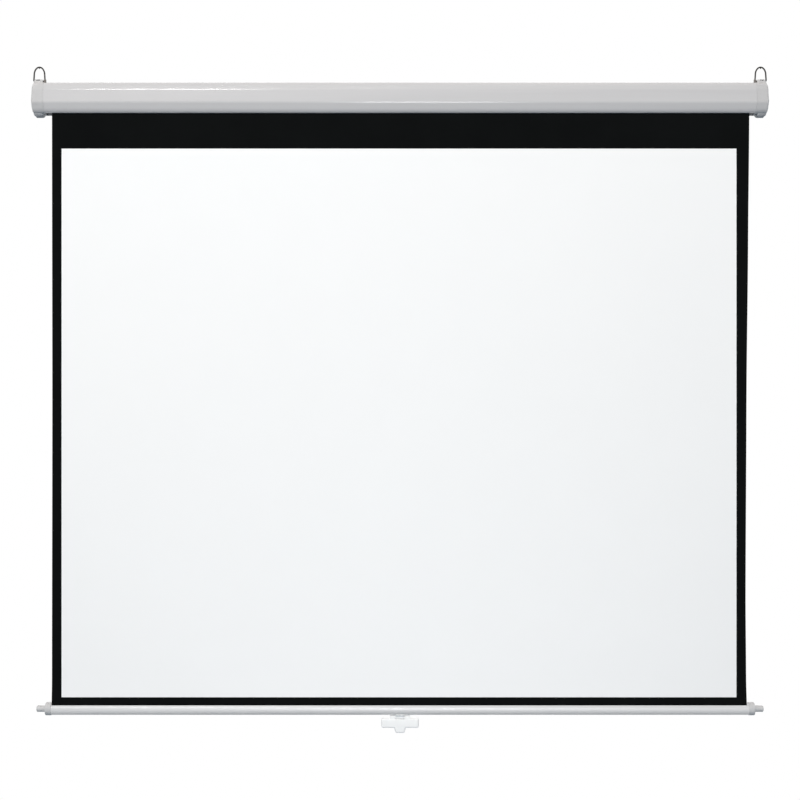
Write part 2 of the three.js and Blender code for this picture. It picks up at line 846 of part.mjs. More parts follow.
// A disc with equal notches: a straight step down, a floor, and a ramp back up to the rim
function ratchetDisc() {
  const points = [];
  for (let i = 0; i < ratchet.notches; i += 1) {
    const start = i / ratchet.notches + notchStartShare;
    const floorEnd = start + ratchet.floorTurnShare;
    const rampEnd = floorEnd + ratchet.rampTurnShare;
    const rimEnd = start + 1 / ratchet.notches;
    const place = (turn, radius) => [
      rollerY + radius * Math.cos(turn * 2 * Math.PI),
      rollerZ + radius * Math.sin(turn * 2 * Math.PI),
    ];
    [start, (start + floorEnd) / 2, floorEnd].forEach((turn) => {
      points.push(place(turn, ratchet.floorRadius));
    });
    const rimSteps = Math.round((rimEnd - rampEnd) * ratchet.stepsPerTurn);
    for (let k = 0; k <= rimSteps; k += 1) {
      points.push(place(rampEnd + ((rimEnd - rampEnd) * k) / rimSteps, ratchet.radius));
    }
  }
  const end = ratchetStart + ratchet.thickness;
  const bore = roundAlongX(
    rollerY,
    rollerZ,
    holeRadius(shaft.radius + fit.seat, roller.sides),
    ratchetStart - fit.overrun,
    end + fit.overrun,
    roller.sides,
  );
  return alongX(points, ratchetStart, end).subtract(bore);
}

// A lifted pawl reaches round the ratchet from its pin to its nose
function lockPawl(index) {
  const [pinY, pinZ] = pawlPin(index);
  const turn = 180 * index;
  const pinAngle = 90 + turn;
  const noseStart = pinAngle - pawl.armAngle;
  const noseEnd = noseStart - pawl.noseAngle;
  const start = ratchetStart;
  const end = start + pawl.thickness;
  const armInner = pawl.pivotRadius - pawl.eyeRadius + fit.weld;
  const arm = alongX(
    [
      ...arcPoints(rollerY, rollerZ, pawl.noseRadius, noseEnd, noseStart, pawl.noseSteps),
      ...arcPoints(rollerY, rollerZ, armInner, noseStart, pinAngle, pawl.armSteps),
      ...arcPoints(rollerY, rollerZ, pawl.backRadius, pinAngle, noseEnd, pawl.backSteps),
    ],
    start,
    end,
  );
  const eye = roundAlongX(pinY, pinZ, pawl.eyeRadius, start, end, pawl.sides);
  const boreRadius = holeRadius(pawl.pinRadius + fit.running, pawl.sides);
  const bore = roundAlongX(pinY, pinZ, boreRadius, start - fit.overrun, end + fit.overrun, pawl.sides);
  return join(arm, eye).subtract(bore);
}

// The spring's wire, ring by ring along its helix
function returnSpring() {
  const steps = spring.turns * spring.stepsPerTurn;
  const slope = Math.atan2(spring.pitch, 2 * Math.PI * spring.meanRadius);
  const rings = [];
  for (let i = 0; i <= steps; i += 1) {
    const angle = (i / spring.stepsPerTurn) * 2 * Math.PI;
    const out = [0, Math.cos(angle), Math.sin(angle)];
    const across = [-Math.cos(slope), -out[2] * Math.sin(slope), out[1] * Math.sin(slope)];
    const middle = [
      springStart + (spring.pitch * i) / spring.stepsPerTurn,
      rollerY + spring.meanRadius * out[1],
      rollerZ + spring.meanRadius * out[2],
    ];
    rings.push(
      circlePoints(0, 0, spring.wireRadius, spring.sides).map(([u, v]) =>
        [0, 1, 2].map((axis) => middle[axis] + out[axis] * u + across[axis] * v),
      ),
    );
  }
  return loft(rings);
}

// The spool on the shaft that holds the still end of the spring
function springAnchor() {
  const bore = holeRadius(shaft.radius + fit.seat, roller.sides);
  const flange = plugRadius - fit.seat;
  const inner = anchorFace - spring.spigotLength;
  const outer = anchorFace + spring.spigotLength;
  const profile = [
    [bore, inner],
    [flange, inner],
    [flange, anchorFace],
    [spigotRadius, anchorFace],
    [spigotRadius, outer],
    [bore, outer],
    [bore, inner],
  ];
  return turnedAlongX(profile, rollerY, rollerZ, roller.sides);
}

// A retaining ring keeps the drive plug from creeping along the shaft
function shaftClip() {
  const face = rollerEnd - roller.plugLength - spring.spigotLength - fit.seat;
  const inner = holeRadius(shaft.radius + fit.seat / 2, roller.sides);
  const ring = tubeAlongX(
    rollerY,
    rollerZ,
    shaft.clipRadius,
    inner,
    face - shaft.clipThickness,
    face,
    roller.sides,
  );
  const gap = boxBetween(
    [face - shaft.clipThickness - fit.overrun, rollerY - shaft.radius / 2, rollerZ],
    [face + fit.overrun, rollerY + shaft.radius / 2, rollerZ + shaft.clipRadius + fit.overrun],
  );
  return ring.subtract(gap);
}

// Fabric
const hemBoreY = fabricY;
const hemBoreZ = barZ + bar.hemBoreRise;
const hemBoreRadius = holeRadius(bar.hemBoreRadius, bar.hemSides);

function screenFabric() {
  const low = hemBoreZ + bar.hemRodRadius + fit.seat;
  return boxBetween(
    [-fabric.width / 2, fabricY - fabric.thickness / 2, low],
    [fabric.width / 2, fabricY + fabric.thickness / 2, rollerZ],
  );
}

// Bottom bar: a tube with a keyhole channel for the hem
const barHalf = fabric.width / 2;

function bottomBar() {
  const from = -barHalf;
  const to = barHalf;
  const beyond = [from - fit.overrun, to + fit.overrun];
  const outside = roundAlongX(barY, barZ, bar.radius, from, to, bar.sides);
  const tube = tubeAlongX(barY, barZ, bar.radius, bar.radius - bar.wall, from, to, bar.sides);
  const wallRadius = bar.hemBoreRadius + bar.hemWall;
  const channel = roundAlongX(hemBoreY, hemBoreZ, wallRadius, from, to, bar.hemSides).intersect(outside);
  const half = bar.slotWidth / 2;
  const entry = boxBetween(
    [beyond[0], hemBoreY - half, hemBoreZ],
    [beyond[1], hemBoreY + half, barZ + bar.radius + fit.overrun],
  );
  const neck = boxBetween(
    [from, hemBoreY - half - bar.hemWall, hemBoreZ],
    [to, hemBoreY + half + bar.hemWall, hemEntryZ],
  ).intersect(outside);
  const bore = roundAlongX(hemBoreY, hemBoreZ, hemBoreRadius, ...beyond, bar.hemSides);
  return cut(join(tube, channel, neck), entry, bore, ...screwAngles.map(pilotHole));
}

function hemRod() {
  return roundAlongX(hemBoreY, hemBoreZ, bar.hemRodRadius, -barHalf, barHalf, bar.hemSides);
}

// Collar, pin and plug of the +X end in one moulding
function barEndPiece() {
  const face = barHalf + fit.seat;
  const collarEnd = face + barEnd.collarLength;
  const pinEnd = collarEnd + barEnd.pinLength;
  const chamfer = barEnd.chamfer;
  const shoulder = barEnd.pinNose * barEnd.noseShoulderShare;
  const plug = bar.radius - bar.wall - fit.seat;
  const profile = [
    [0, face - barEnd.plugLength],
    [plug - chamfer, face - barEnd.plugLength],
    [plug, face - barEnd.plugLength + chamfer],
    [plug, face],
    [barEnd.collarRadius - chamfer, face],
    [barEnd.collarRadius, face + chamfer],
    [barEnd.collarRadius, collarEnd - chamfer],
    [barEnd.collarRadius - chamfer, collarEnd],
    [barEnd.pinRadius, collarEnd],
    [barEnd.pinRadius, pinEnd - barEnd.pinNose],
    [barEnd.pinRadius - shoulder, pinEnd - shoulder],
    [barEnd.pinRadius - barEnd.pinNose, pinEnd],
    [0, pinEnd],
  ];
  const body = turnedAlongX(profile, barY, barZ, bar.sides);
  const clear = holeRadius(bar.hemBoreRadius + bar.hemWall + fit.seat, bar.hemSides);
  const plugFrom = face - barEnd.plugLength - fit.overrun;
  const channel = roundAlongX(hemBoreY, hemBoreZ, clear, plugFrom, face - fit.seat / 2, bar.hemSides);
  const halfNeck = bar.slotWidth / 2 + bar.hemWall + fit.seat;
  const neck = boxBetween(
    [plugFrom, hemBoreY - halfNeck, hemBoreZ],
    [face - fit.seat / 2, hemBoreY + halfNeck, barZ + bar.radius],
  );
  return cut(body, channel, neck);
}

// Handle bracket
const screwAngles = [-90 - bracket.screwAngle, -90 + bracket.screwAngle];

// A round body that points straight out from the bar's axis at an angle in the (y, z) plane
function radialRound(angle, profile, sides) {
  const points = profile.map(([radius, out]) => new THREE.Vector2(radius, out));
  const geometry = new THREE.LatheGeometry(points, sides);
  geometry.rotateX(angle * degree);
  geometry.translate(0, barY, barZ);
  return solid(geometry);
}

function pilotHole(angle) {
  const radius = bracket.screwRadius + fit.seat;
  const inner = bar.radius - bar.wall - fit.overrun;
  const outer = bar.radius + fit.overrun;
  return radialRound(angle, [[0, inner], [radius, inner], [radius, outer], [0, outer]], cap.holeSides);
}

const saddleInner = bar.radius + fit.seat;
const saddleOuter = saddleInner + bracket.thickness;
const screwConeEnd = saddleOuter - bracket.screwHeadRadius + bracket.screwRadius;

// The hole that the handle's pin lies in, through a body of this half width
function handleBore(halfWidth) {
  const radius = holeRadius(bracket.pinRadius + fit.seat, cap.holeSides);
  const reach = halfWidth + fit.overrun;
  return roundAlongX(barY, handlePivotZ, radius, -reach, reach, cap.holeSides);
}

function handleBracket() {
  const halfWidth = bracket.width / 2;
  const start = -90 - bracket.gripAngle;
  const end = -90 + bracket.gripAngle;
  const saddle = alongX(
    [
      ...arcPoints(barY, barZ, saddleOuter, start, end, bracket.arcSteps),
      ...arcPoints(barY, barZ, saddleInner, end, start, bracket.arcSteps),
    ],
    -halfWidth,
    halfWidth,
  );
  const radius = bracket.tongueRadius;
  const barrel = roundAlongX(barY, handlePivotZ, radius, -halfWidth, halfWidth, cap.roundSides);
  const halfTongue = bracket.tongueThickness / 2;
  const web = boxBetween(
    [-halfWidth, barY - halfTongue, handlePivotZ],
    [halfWidth, barY + halfTongue, barZ - saddleInner - fit.weld],
  );
  return cut(join(saddle, barrel, web), handleBore(halfWidth), ...screwAngles.map(screwSeat));
}

// The head sits flush in the saddle, so the seat widens outwards
function screwSeat(angle) {
  const shank = bracket.screwRadius + fit.seat;
  const head = bracket.screwHeadRadius + fit.seat;
  const low = saddleInner - fit.overrun;
  const high = saddleOuter + fit.overrun;
  const profile = [
    [0, low],
    [shank, low],
    [shank, screwConeEnd],
    [head, saddleOuter],
    [head, high],
    [0, high],
  ];
  return radialRound(angle, profile, cap.holeSides);
}

function bracketScrew(angle) {
  const tip = saddleOuter - bracket.screwLength;
  const profile = [
    [0, tip],
    [bracket.screwRadius / 2, tip],
    [bracket.screwRadius, tip + bracket.screwRadius],
    [bracket.screwRadius, screwConeEnd],
    [bracket.screwHeadRadius, saddleOuter],
    [0, saddleOuter],
  ];
  return radialRound(angle, profile, capScrew.sides);
}

const lugInner = bracket.width / 2 + handle.lugGap;
const lugOuter = lugInner + handle.lugWidth;

function handlePin() {
  return roundAlongX(barY, handlePivotZ, bracket.pinRadius, -lugOuter, lugOuter, cap.holeSides);
}

// The handle's outline in (x, z): two wings with round corners and a tapered tail
function handleOutline(shrink) {
  const half = handle.width / 2 - shrink;
  const top = handlePivotZ - handle.wingDrop - shrink;
  const low = handlePivotZ - handle.wingDrop - handle.wingHeight + shrink;
  const tailHalf = handle.tailTopWidth / 2 - shrink;
  const tipHalf = handle.tailWidth / 2 - shrink;
  const tip = low - handle.tailLength;
  const r = handle.cornerRadius - shrink;
  const s = handle.shoulderRadius;
  const steps = handle.cornerSteps;
  const side = [
    ...arcPoints(tipHalf - s, tip + s, s, -90, 0, steps),
    [tailHalf, low],
    ...arcPoints(half - r, low + r, r, -90, 0, steps),
    ...arcPoints(half - r, top - r, r, 0, 90, steps),
  ];
  return [...side, ...side.map(([x, z]) => [-x, z]).reverse()];
}

function pullHandle() {
  const rear = barY + handle.thickness / 2;
  const plate = towardsFront(handleOutline(0), rear, handle.thickness, handle.edgeRound);
  const pocketShape = handleOutline(handle.wall);
  const pocketRear = rear + fit.overrun;
  const pocket = towardsFront(pocketShape, pocketRear, handle.pocketDepth + fit.overrun);
  const low = handlePivotZ - handle.wingDrop - handle.wingHeight - handle.tailLength;
  const front = rear - handle.thickness + handle.edgeRound;
  const ribs = [-1, 1].map((side) => {
    const x = (side * handle.tailTopWidth) / 2;
    return boxBetween(
      [x - handle.ribThickness / 2, front, low],
      [x + handle.ribThickness / 2, rear, handlePivotZ],
    ).intersect(towardsFront(handleOutline(0), rear, handle.thickness));
  });
  const notchTop = handlePivotZ + handle.lugRadius + fit.overrun;
  const notchLow = handlePivotZ - bracket.tongueRadius - handle.lugGap * 2;
  const notch = boxBetween([-lugInner, frontY, notchLow], [lugInner, 0, notchTop]);
  const notchFloor = boxBetween(
    [-lugOuter, front, notchLow - handle.wall],
    [lugOuter, rear - handle.edgeRound, notchLow],
  );
  const lugs = [-1, 1].flatMap((side) => {
    const [from, to] = [side * lugInner, side * lugOuter].sort((a, b) => a - b);
    return [
      roundAlongX(barY, handlePivotZ, handle.lugRadius, from, to, cap.roundSides),
      boxBetween([from, barY - handle.lugRadius, notchLow], [to, barY + handle.lugRadius, handlePivotZ]),
    ];
  });
  return cut(join(plate.subtract(pocket), ...ribs, notchFloor, ...lugs), notch, handleBore(lugOuter));
}

// The assembly
const screenAssembly = new THREE.Group();
const leftEnd = new THREE.Group();
leftEnd.scale.x = -1;
screenAssembly.add(leftEnd);

screenAssembly.add(
  piece('housing_shell', housingShell(), finishes.casePaint),
  piece('end_cap_right', endCap(bushSocket()), finishes.capPlastic),
  piece('idle_bush', idleBush(), finishes.nylon),
  piece('screen_fabric', screenFabric(), finishes.screenFabric),
  piece('roller_tube', rollerTube(), finishes.rollerSteel),
  piece('fabric_wrap', fabricWrap(), finishes.screenFabric),
  piece('idle_plug', idlePlug(), finishes.nylon),
  piece('bottom_bar', bottomBar(), finishes.barAluminium),
  piece('hem_rod', hemRod(), finishes.nylon),
  piece('bar_end_right', barEndPiece(), finishes.barPlastic),
  piece('handle_bracket', handleBracket(), finishes.handlePlastic),
  piece('handle_pin', handlePin(), finishes.zincSteel),
  piece('pull_handle', pullHandle(), finishes.handlePlastic),
  piece('hanging_loop_right', hangingLoop(), finishes.darkWire),
);

leftEnd.add(
  piece('end_cap_left', endCap(tangSocket()), finishes.capPlastic),
  piece('bar_end_left', barEndPiece(), finishes.barPlastic),
  piece('hanging_loop_left', hangingLoop(), finishes.darkWire),
  piece('drive_plug', drivePlug(), finishes.nylon),
  piece('spring_shaft', springShaft(), finishes.zincSteel),
  piece('ratchet_disc', ratchetDisc(), finishes.zincSteel),
  piece('return_spring', returnSpring(), finishes.springSteel),
  piece('spring_anchor', springAnchor(), finishes.nylon),
  piece('shaft_clip', shaftClip(), finishes.zincSteel),
);

['upper', 'lower'].forEach((place, index) => {
  leftEnd.add(piece(`lock_pawl_${place}`, lockPawl(index), finishes.zincSteel));
});

ports.forEach((place, index) => {
  screenAssembly.add(piece(`cap_screw_right_${index + 1}`, capScrewAt(place), finishes.zincSteel));
  leftEnd.add(piece(`cap_screw_left_${index + 1}`, capScrewAt(place), finishes.zincSteel));
});

screwAngles.forEach((angle, index) => {
  screenAssembly.add(piece(`bracket_screw_${index + 1}`, bracketScrew(angle), finishes.zincSteel));
});

export default screenAssembly;
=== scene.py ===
import math

import bmesh
import bpy
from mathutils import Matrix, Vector


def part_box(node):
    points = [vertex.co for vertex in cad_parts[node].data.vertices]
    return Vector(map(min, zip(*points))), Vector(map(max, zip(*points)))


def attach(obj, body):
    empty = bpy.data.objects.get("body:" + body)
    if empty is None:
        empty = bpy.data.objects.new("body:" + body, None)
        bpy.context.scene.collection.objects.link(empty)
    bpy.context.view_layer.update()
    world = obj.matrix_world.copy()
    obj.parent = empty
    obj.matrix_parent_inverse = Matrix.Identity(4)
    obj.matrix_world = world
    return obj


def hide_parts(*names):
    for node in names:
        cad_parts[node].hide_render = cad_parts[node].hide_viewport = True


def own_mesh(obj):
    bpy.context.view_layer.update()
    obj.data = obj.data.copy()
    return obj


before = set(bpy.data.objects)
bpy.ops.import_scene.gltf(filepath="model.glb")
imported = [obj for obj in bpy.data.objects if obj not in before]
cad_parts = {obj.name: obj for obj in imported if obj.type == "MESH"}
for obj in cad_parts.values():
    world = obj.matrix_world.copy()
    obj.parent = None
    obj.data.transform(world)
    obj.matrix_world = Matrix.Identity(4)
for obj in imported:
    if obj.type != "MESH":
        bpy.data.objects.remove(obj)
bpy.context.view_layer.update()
scene = bpy.context.scene
scene.view_settings.view_transform = "Standard"
print("frame in:", len(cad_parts), "CAD nodes")

mm = 0.001  # the pieces' sizes are in millimetres; meshes, camera, lamps and floor are in metres
overcut = 2  # how far a cutting tool reaches past what it cuts


# dead level, a little above the middle of the white area
cameraSetup = {"place": (0.0, -3.0435, -0.7785), "tilt": 90, "lens": 52.94, "sensor": 36, "reach": 60}

cameraData = bpy.data.cameras.new("photoCamera")
cameraData.lens = cameraSetup["lens"]
cameraData.sensor_width = cameraSetup["sensor"]
cameraData.sensor_fit = "HORIZONTAL"
cameraData.clip_end = cameraSetup["reach"]
photoCamera = bpy.data.objects.new("photoCamera", cameraData)
photoCamera.location = cameraSetup["place"]
photoCamera.rotation_euler = (math.radians(cameraSetup["tilt"]), 0, 0)
scene.collection.objects.link(photoCamera)
scene.camera = photoCamera
print("camera set")


def reworkMesh(mesh, change):
    bm = bmesh.new()
    bm.from_mesh(mesh)
    change(bm)
    bm.to_mesh(mesh)
    bm.free()


def faceOutwards(bm):
    bmesh.ops.recalc_face_normals(bm, faces=bm.faces)


def swapEnds(bm):
    for v in bm.verts:
        v.co.x = -v.co.x
    bmesh.ops.reverse_faces(bm, faces=bm.faces)


def addPiece(name, verts, faces):
    mesh = bpy.data.meshes.new(name)
    mesh.from_pydata([[v * mm for v in p] for p in verts], [], faces)
    reworkMesh(mesh, faceOutwards)
    piece = bpy.data.objects.new(name, mesh)
    scene.collection.objects.link(piece)
    return piece


def skinned(name, rings):
    # closed skin over a row of rings that all have the same number of points
    n = len(rings[0])
    verts = [p for ring in rings for p in ring]
    last = len(verts) - n
    faces = [tuple(range(n)), tuple(range(last, last + n))]
    for r in range(0, last, n):
        faces += [(r + i, r + (i + 1) % n, r + n + (i + 1) % n, r + n + i) for i in range(n)]
    return addPiece(name, verts, faces)


def arc(cx, cy, radius, start, end, steps):
    turn = [math.radians(start + (end - start) * i / steps) for i in range(steps + 1)]
    return [(cx + radius * math.cos(a), cy + radius * math.sin(a)) for a in turn]


def circle(cx, cy, radius, sides):
    return arc(cx, cy, radius, 0, 360, sides)[:sides]


def filleted(corners, steps):
    # corners are (a, b, radius), and every corner with a radius is rounded inwards
    rounded = []
    for i, (a, b, radius) in enumerate(corners):
        if radius <= 0:
            rounded.append((a, b))
            continue
        here = Vector((a, b))
        before = Vector(corners[i - 1][:2]) - here
        after = Vector(corners[(i + 1) % len(corners)][:2]) - here
        before.normalize()
        after.normalize()
        half = before.angle(after) / 2
        middle = here + (before + after).normalized() * (radius / math.sin(half))
        start = here + before * (radius / math.tan(half)) - middle
        end = here + after * (radius / math.tan(half)) - middle
        sweep = start.angle_signed(end)
        for k in range(steps + 1):
            turn = -sweep * k / steps
            c, s = math.cos(turn), math.sin(turn)
            rounded.append((middle.x + start.x * c - start.y * s, middle.y + start.x * s + start.y * c))
    return rounded


def shrunk(points, distance):
    # an anticlockwise outline with every edge moved inwards
    moved = []
    for i, here in enumerate(points):
        p, q = Vector(points[i - 1]), Vector(points[(i + 1) % len(points)])
        h = Vector(here)
        one, two = (h - p).normalized(), (q - h).normalized()
        n1, n2 = Vector((-one.y, one.x)), Vector((-two.y, two.x))
        moved.append(tuple(h + (n1 + n2) * (distance / (1 + n1.dot(n2)))))
    return moved


def prismX(name, outline, fromX, toX):
    # outline in (y, z), run along the screen
    return skinned(name, [[(x, y, z) for y, z in outline] for x in (fromX, toX)])


def prismY(name, outline, rearY, frontY, softEdge=0.0):
    # outline in (x, z), or a function that gives it moved inwards; softEdge rounds its front and rear edges
    stations = [(rearY, 0.0), (frontY, 0.0)]
    if softEdge > 0:
        stations = arc(rearY - softEdge, softEdge, softEdge, 0, -90, steps=6)
        stations += arc(frontY + softEdge, softEdge, softEdge, 270, 180, steps=6)
    rings = []
    for y, inwards in stations:
        ring = outline(inwards) if callable(outline) else shrunk(outline, inwards)
        rings.append([(x, y, z) for x, z in ring])
    return skinned(name, rings)


def turnedX(name, profile, cy, cz, sides=64):
    # profile of (radius, x), turned about an axis along the screen; radius 0 closes it
    verts, rows = [], []
    for radius, x in profile:
        if radius == 0:
            rows.append([len(verts)])
            verts.append((x, cy, cz))
        else:
            rows.append(list(range(len(verts), len(verts) + sides)))
            verts += [(x, y, z) for y, z in circle(cy, cz, radius, sides)]
    faces = []
    for one, two in zip(rows, rows[1:]):
        for i in range(sides):
            k = (i + 1) % sides
            if len(one) == 1:
                faces.append((one[0], two[i], two[k]))
            elif len(two) == 1:
                faces.append((one[i], one[k], two[0]))
            else:
                faces.append((one[i], one[k], two[k], two[i]))
    return addPiece(name, verts, faces)


def block(name, low, high):
    verts = [(x, y, z) for x in (low[0], high[0]) for y in (low[1], high[1]) for z in (low[2], high[2])]
    faces = [(0, 1, 3, 2), (4, 6, 7, 5), (0, 4, 5, 1), (2, 3, 7, 6), (0, 2, 6, 4), (1, 5, 7, 3)]
    return addPiece(name, verts, faces)


def roundX(name, cy, cz, radius, fromX, toX, sides=48):
    return prismX(name, circle(cy, cz, radius, sides), fromX, toX)


def settle(piece):
    # applies the modifiers for good
    bpy.context.view_layer.update()
    done = bpy.data.meshes.new_from_object(piece.evaluated_get(bpy.context.evaluated_depsgraph_get()))
    piece.modifiers.clear()
    old, piece.data = piece.data, done
    bpy.data.meshes.remove(old)
    return piece


def combine(piece, tools, operation):
    for tool in tools:
        step = piece.modifiers.new("step", "BOOLEAN")
        step.operation = operation
        step.solver = "EXACT"
        step.object = tool
    settle(piece)
    for tool in tools:
        used = tool.data
        bpy.data.objects.remove(tool)
        bpy.data.meshes.remove(used)
    return piece


def carve(piece, *tools):
    return combine(piece, tools, "DIFFERENCE")


def weld(piece, *tools):
    return combine(piece, tools, "UNION")


def softened(piece, width, segments=3, angle=30):
    edge = piece.modifiers.new("softEdges", "BEVEL")
    edge.width = width * mm
    edge.segments = segments
    edge.limit_method = "ANGLE"
    edge.angle_limit = math.radians(angle)
    return settle(piece)


def mirrored(piece, name):
    # the same piece for the other end of the screen
    other = piece.copy()
    other.data = piece.data.copy()
    other.name = other.data.name = name
    reworkMesh(other.data, swapEnds)
    scene.collection.objects.link(other)
    return other


def dress(piece, material, body, nodes=(), sharpAngle=32):
    # finish, shading, and the CAD body that carries the piece
    if material is not None:
        piece.data.materials.clear()
        piece.data.materials.append(material)
    piece.data.polygons.foreach_set("use_smooth", [True] * len(piece.data.polygons))
    piece.data.set_sharp_from_angle(angle=math.radians(sharpAngle))
    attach(piece, body)
    if nodes:
        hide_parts(*nodes)


def fill(tree, node, inputs):
    # an input is given as a value or as the output of another node
    for name, given in inputs.items():
        if isinstance(given, bpy.types.NodeSocket):
            tree.links.new(given, node.inputs[name])
        else:
            node.inputs[name].default_value = given
    return node


def addNode(tree, kind, inputs, **settings):
    node = tree.nodes.new("ShaderNode" + kind)
    for name, setting in settings.items():
        setattr(node, name, setting)
    return fill(tree, node, inputs)


def maths(tree, operation, *values):
    return addNode(tree, "Math", dict(enumerate(values)), operation=operation).outputs["Value"]


def newFinish(name, colour, roughness, metallic=0.0, specular=0.5):
    material = bpy.data.materials.new(name)
    material.use_nodes = True
    tree = material.node_tree
    shader = tree.nodes["Principled BSDF"]
    fill(tree, shader, {"Base Color": (*colour, 1), "Roughness": roughness})
    fill(tree, shader, {"Metallic": metallic, "Specular IOR Level": specular})
    return material, tree, shader


def placed(tree, stretch=(1, 1, 1)):
    # the piece's own coordinates in millimetres, drawn out by stretch
    coords = addNode(tree, "TexCoord", {}).outputs["Object"]
    scale = [1 / mm / s for s in stretch]
    return addNode(tree, "Mapping", {"Vector": coords, "Scale": scale}).outputs["Vector"]


def noise(tree, vector, size, detail=3.0):
    # size in millimetres
    inputs = {"Vector": vector, "Scale": 1 / size, "Detail": detail, "Roughness": 0.55}
    return addNode(tree, "TexNoise", inputs).outputs["Fac"]


def shift(tree, value, low, high):
    # spreads a noise value over the range low to high
    inputs = {"Value": value, "From Min": 0.3, "From Max": 0.7, "To Min": low, "To Max": high}
    return addNode(tree, "MapRange", inputs).outputs["Result"]


def tint(tree, shader, value, shade, colour, between=(0.35, 0.65)):
    ramp = addNode(tree, "ValToRGB", {"Fac": value})
    for stop, at, stopColour in zip(ramp.color_ramp.elements, between, (shade, colour)):
        stop.position = at
        stop.color = (*stopColour, 1)
    fill(tree, shader, {"Base Color": ramp.outputs["Color"]})


def relief(tree, shader, height, depth, strength, under=None):
    inputs = {"Height": height, "Distance": depth * mm, "Strength": strength}
    if under is not None:
        inputs["Normal"] = under
    normal = addNode(tree, "Bump", inputs).outputs["Normal"]
    fill(tree, shader, {"Normal": normal})
    return normal


enamel = {
    "roughness": (0.34, 0.46),
    "dullness": 45,  # size of the patches that handling has dulled
    "stretch": (40, 1, 1),
    "flow": 18,  # size of the flow marks in the tint, before they are drawn out
    "peel": {"size": 1.6, "depth": 0.02, "strength": 0.5},
    "lines": {"size": 2.5, "depth": 0.012, "strength": 0.4},
    "coat": {"Coat Weight": 1.0, "Coat Roughness": 0.14},
}


def enamelFinish(name, colour, shade):
    # glossy enamel on a rolled case: faint flow marks, orange peel and a little handling dullness
    material, tree, shader = newFinish(name, colour, roughness=0.4, specular=0.45)
    own = placed(tree)
    drawn = placed(tree, enamel["stretch"])
    peel, lines = enamel["peel"], enamel["lines"]
    tint(tree, shader, noise(tree, drawn, enamel["flow"]), shade, colour)
    fill(tree, shader, {"Roughness": shift(tree, noise(tree, own, enamel["dullness"]), *enamel["roughness"])})
    bumps = relief(tree, shader, noise(tree, own, peel["size"], detail=2), peel["depth"], peel["strength"])
    relief(tree, shader, noise(tree, drawn, lines["size"]), lines["depth"], lines["strength"], bumps)
    fill(tree, shader, enamel["coat"])
    return material


def mouldedFinish(name, colour, shade, roughness=0.46, grain=0.7, depth=0.03):
    # spark-textured moulding, slightly cloudy where the melt cooled unevenly
    material, tree, shader = newFinish(name, colour, roughness, specular=0.42)
    own = placed(tree)
    tint(tree, shader, noise(tree, own, size=14, detail=4), shade, colour)
    gloss = shift(tree, noise(tree, own, size=6), roughness - 0.06, roughness + 0.06)
    fill(tree, shader, {"Roughness": gloss})
    relief(tree, shader, noise(tree, own, grain, detail=2), depth, strength=0.6)
    return material


def drawnMetalFinish(name, colour, shade, roughness, stretch=(1, 1, 1), line=0.5, depth=0.015, metallic=0.9):
    # drawn or extruded metal with its die lines along stretch
    material, tree, shader = newFinish(name, colour, roughness, metallic)
    along = placed(tree, stretch)
    own = placed(tree)
    tint(tree, shader, noise(tree, along, line * 2.2, detail=4), shade, colour)
    gloss = shift(tree, noise(tree, own, size=9), roughness - 0.07, roughness + 0.08)
    fill(tree, shader, {"Roughness": gloss})
    relief(tree, shader, noise(tree, along, line), depth, strength=0.55)
    return material


def spangleFinish(name, colour, shade, crystal=6.25):
    # galvanised sheet, with crystals a few millimetres across
    material, tree, shader = newFinish(name, colour, roughness=0.42, metallic=0.85)
    own = placed(tree)
    crystals = addNode(tree, "TexVoronoi", {"Vector": own, "Scale": 1 / crystal}).outputs["Color"]
    single = addNode(tree, "SeparateColor", {"Color": crystals}).outputs
    tint(tree, shader, single["Red"], shade, colour, between=(0.1, 0.9))
    fill(tree, shader, {"Roughness": shift(tree, single["Green"], 0.36, 0.5)})
    relief(tree, shader, noise(tree, own, size=1.2), depth=0.02, strength=0.4)
    return material


def clothFinish(name, colour, shade, roughness, specular, weave=0.9):
    # coated fabric: the base cloth's weave just shows through the coating
    material, tree, shader = newFinish(name, colour, roughness, specular=specular)
    own = placed(tree)
    tint(tree, shader, noise(tree, own, size=120, detail=5), shade, colour)
    gloss = shift(tree, noise(tree, own, size=3), roughness - 0.05, roughness + 0.05)
    fill(tree, shader, {"Roughness": gloss})
    wave = {"Vector": own, "Scale": math.pi / (10 * weave), "Distortion": 0.6, "Detail Scale": 1.2}
    threads = []
    for direction in ("X", "Z"):
        thread = addNode(tree, "TexWave", wave, wave_type="BANDS", bands_direction=direction)
        threads.append(thread.outputs["Fac"])
    relief(tree, shader, maths(tree, "MULTIPLY", *threads), depth=0.03, strength=0.5)
    return material


# each finish has its colour and a slightly darker shade that clouds or lines it
caseEnamel = enamelFinish("caseEnamel", (0.546, 0.537, 0.540), (0.526, 0.517, 0.521))
capMoulding = mouldedFinish("capMoulding", (0.540, 0.532, 0.532), (0.521, 0.514, 0.514))
darkPlating = drawnMetalFinish("darkPlating", (0.070, 0.067, 0.064), (0.040, 0.038, 0.036), 0.34, (1, 1, 9))
footSleeve = mouldedFinish("footSleeve", (0.215, 0.196, 0.180), (0.165, 0.150, 0.138), roughness=0.5, grain=0.5)
satinAluminium = drawnMetalFinish(
    "satinAluminium", (0.640, 0.644, 0.650), (0.615, 0.619, 0.626), 0.41, (60, 1, 1), 0.7, 0.006, metallic=0.45
)
barMoulding = mouldedFinish("barMoulding", (0.560, 0.560, 0.562), (0.535, 0.535, 0.538))
whiteMoulding = mouldedFinish(
    "whiteMoulding", (0.910, 0.910, 0.906), (0.895, 0.895, 0.889), roughness=0.38, grain=0.9, depth=0.01
)
screenWhite = clothFinish("screenWhite", (0.920, 0.920, 0.918), (0.915, 0.915, 0.913), 0.82, 0.2)
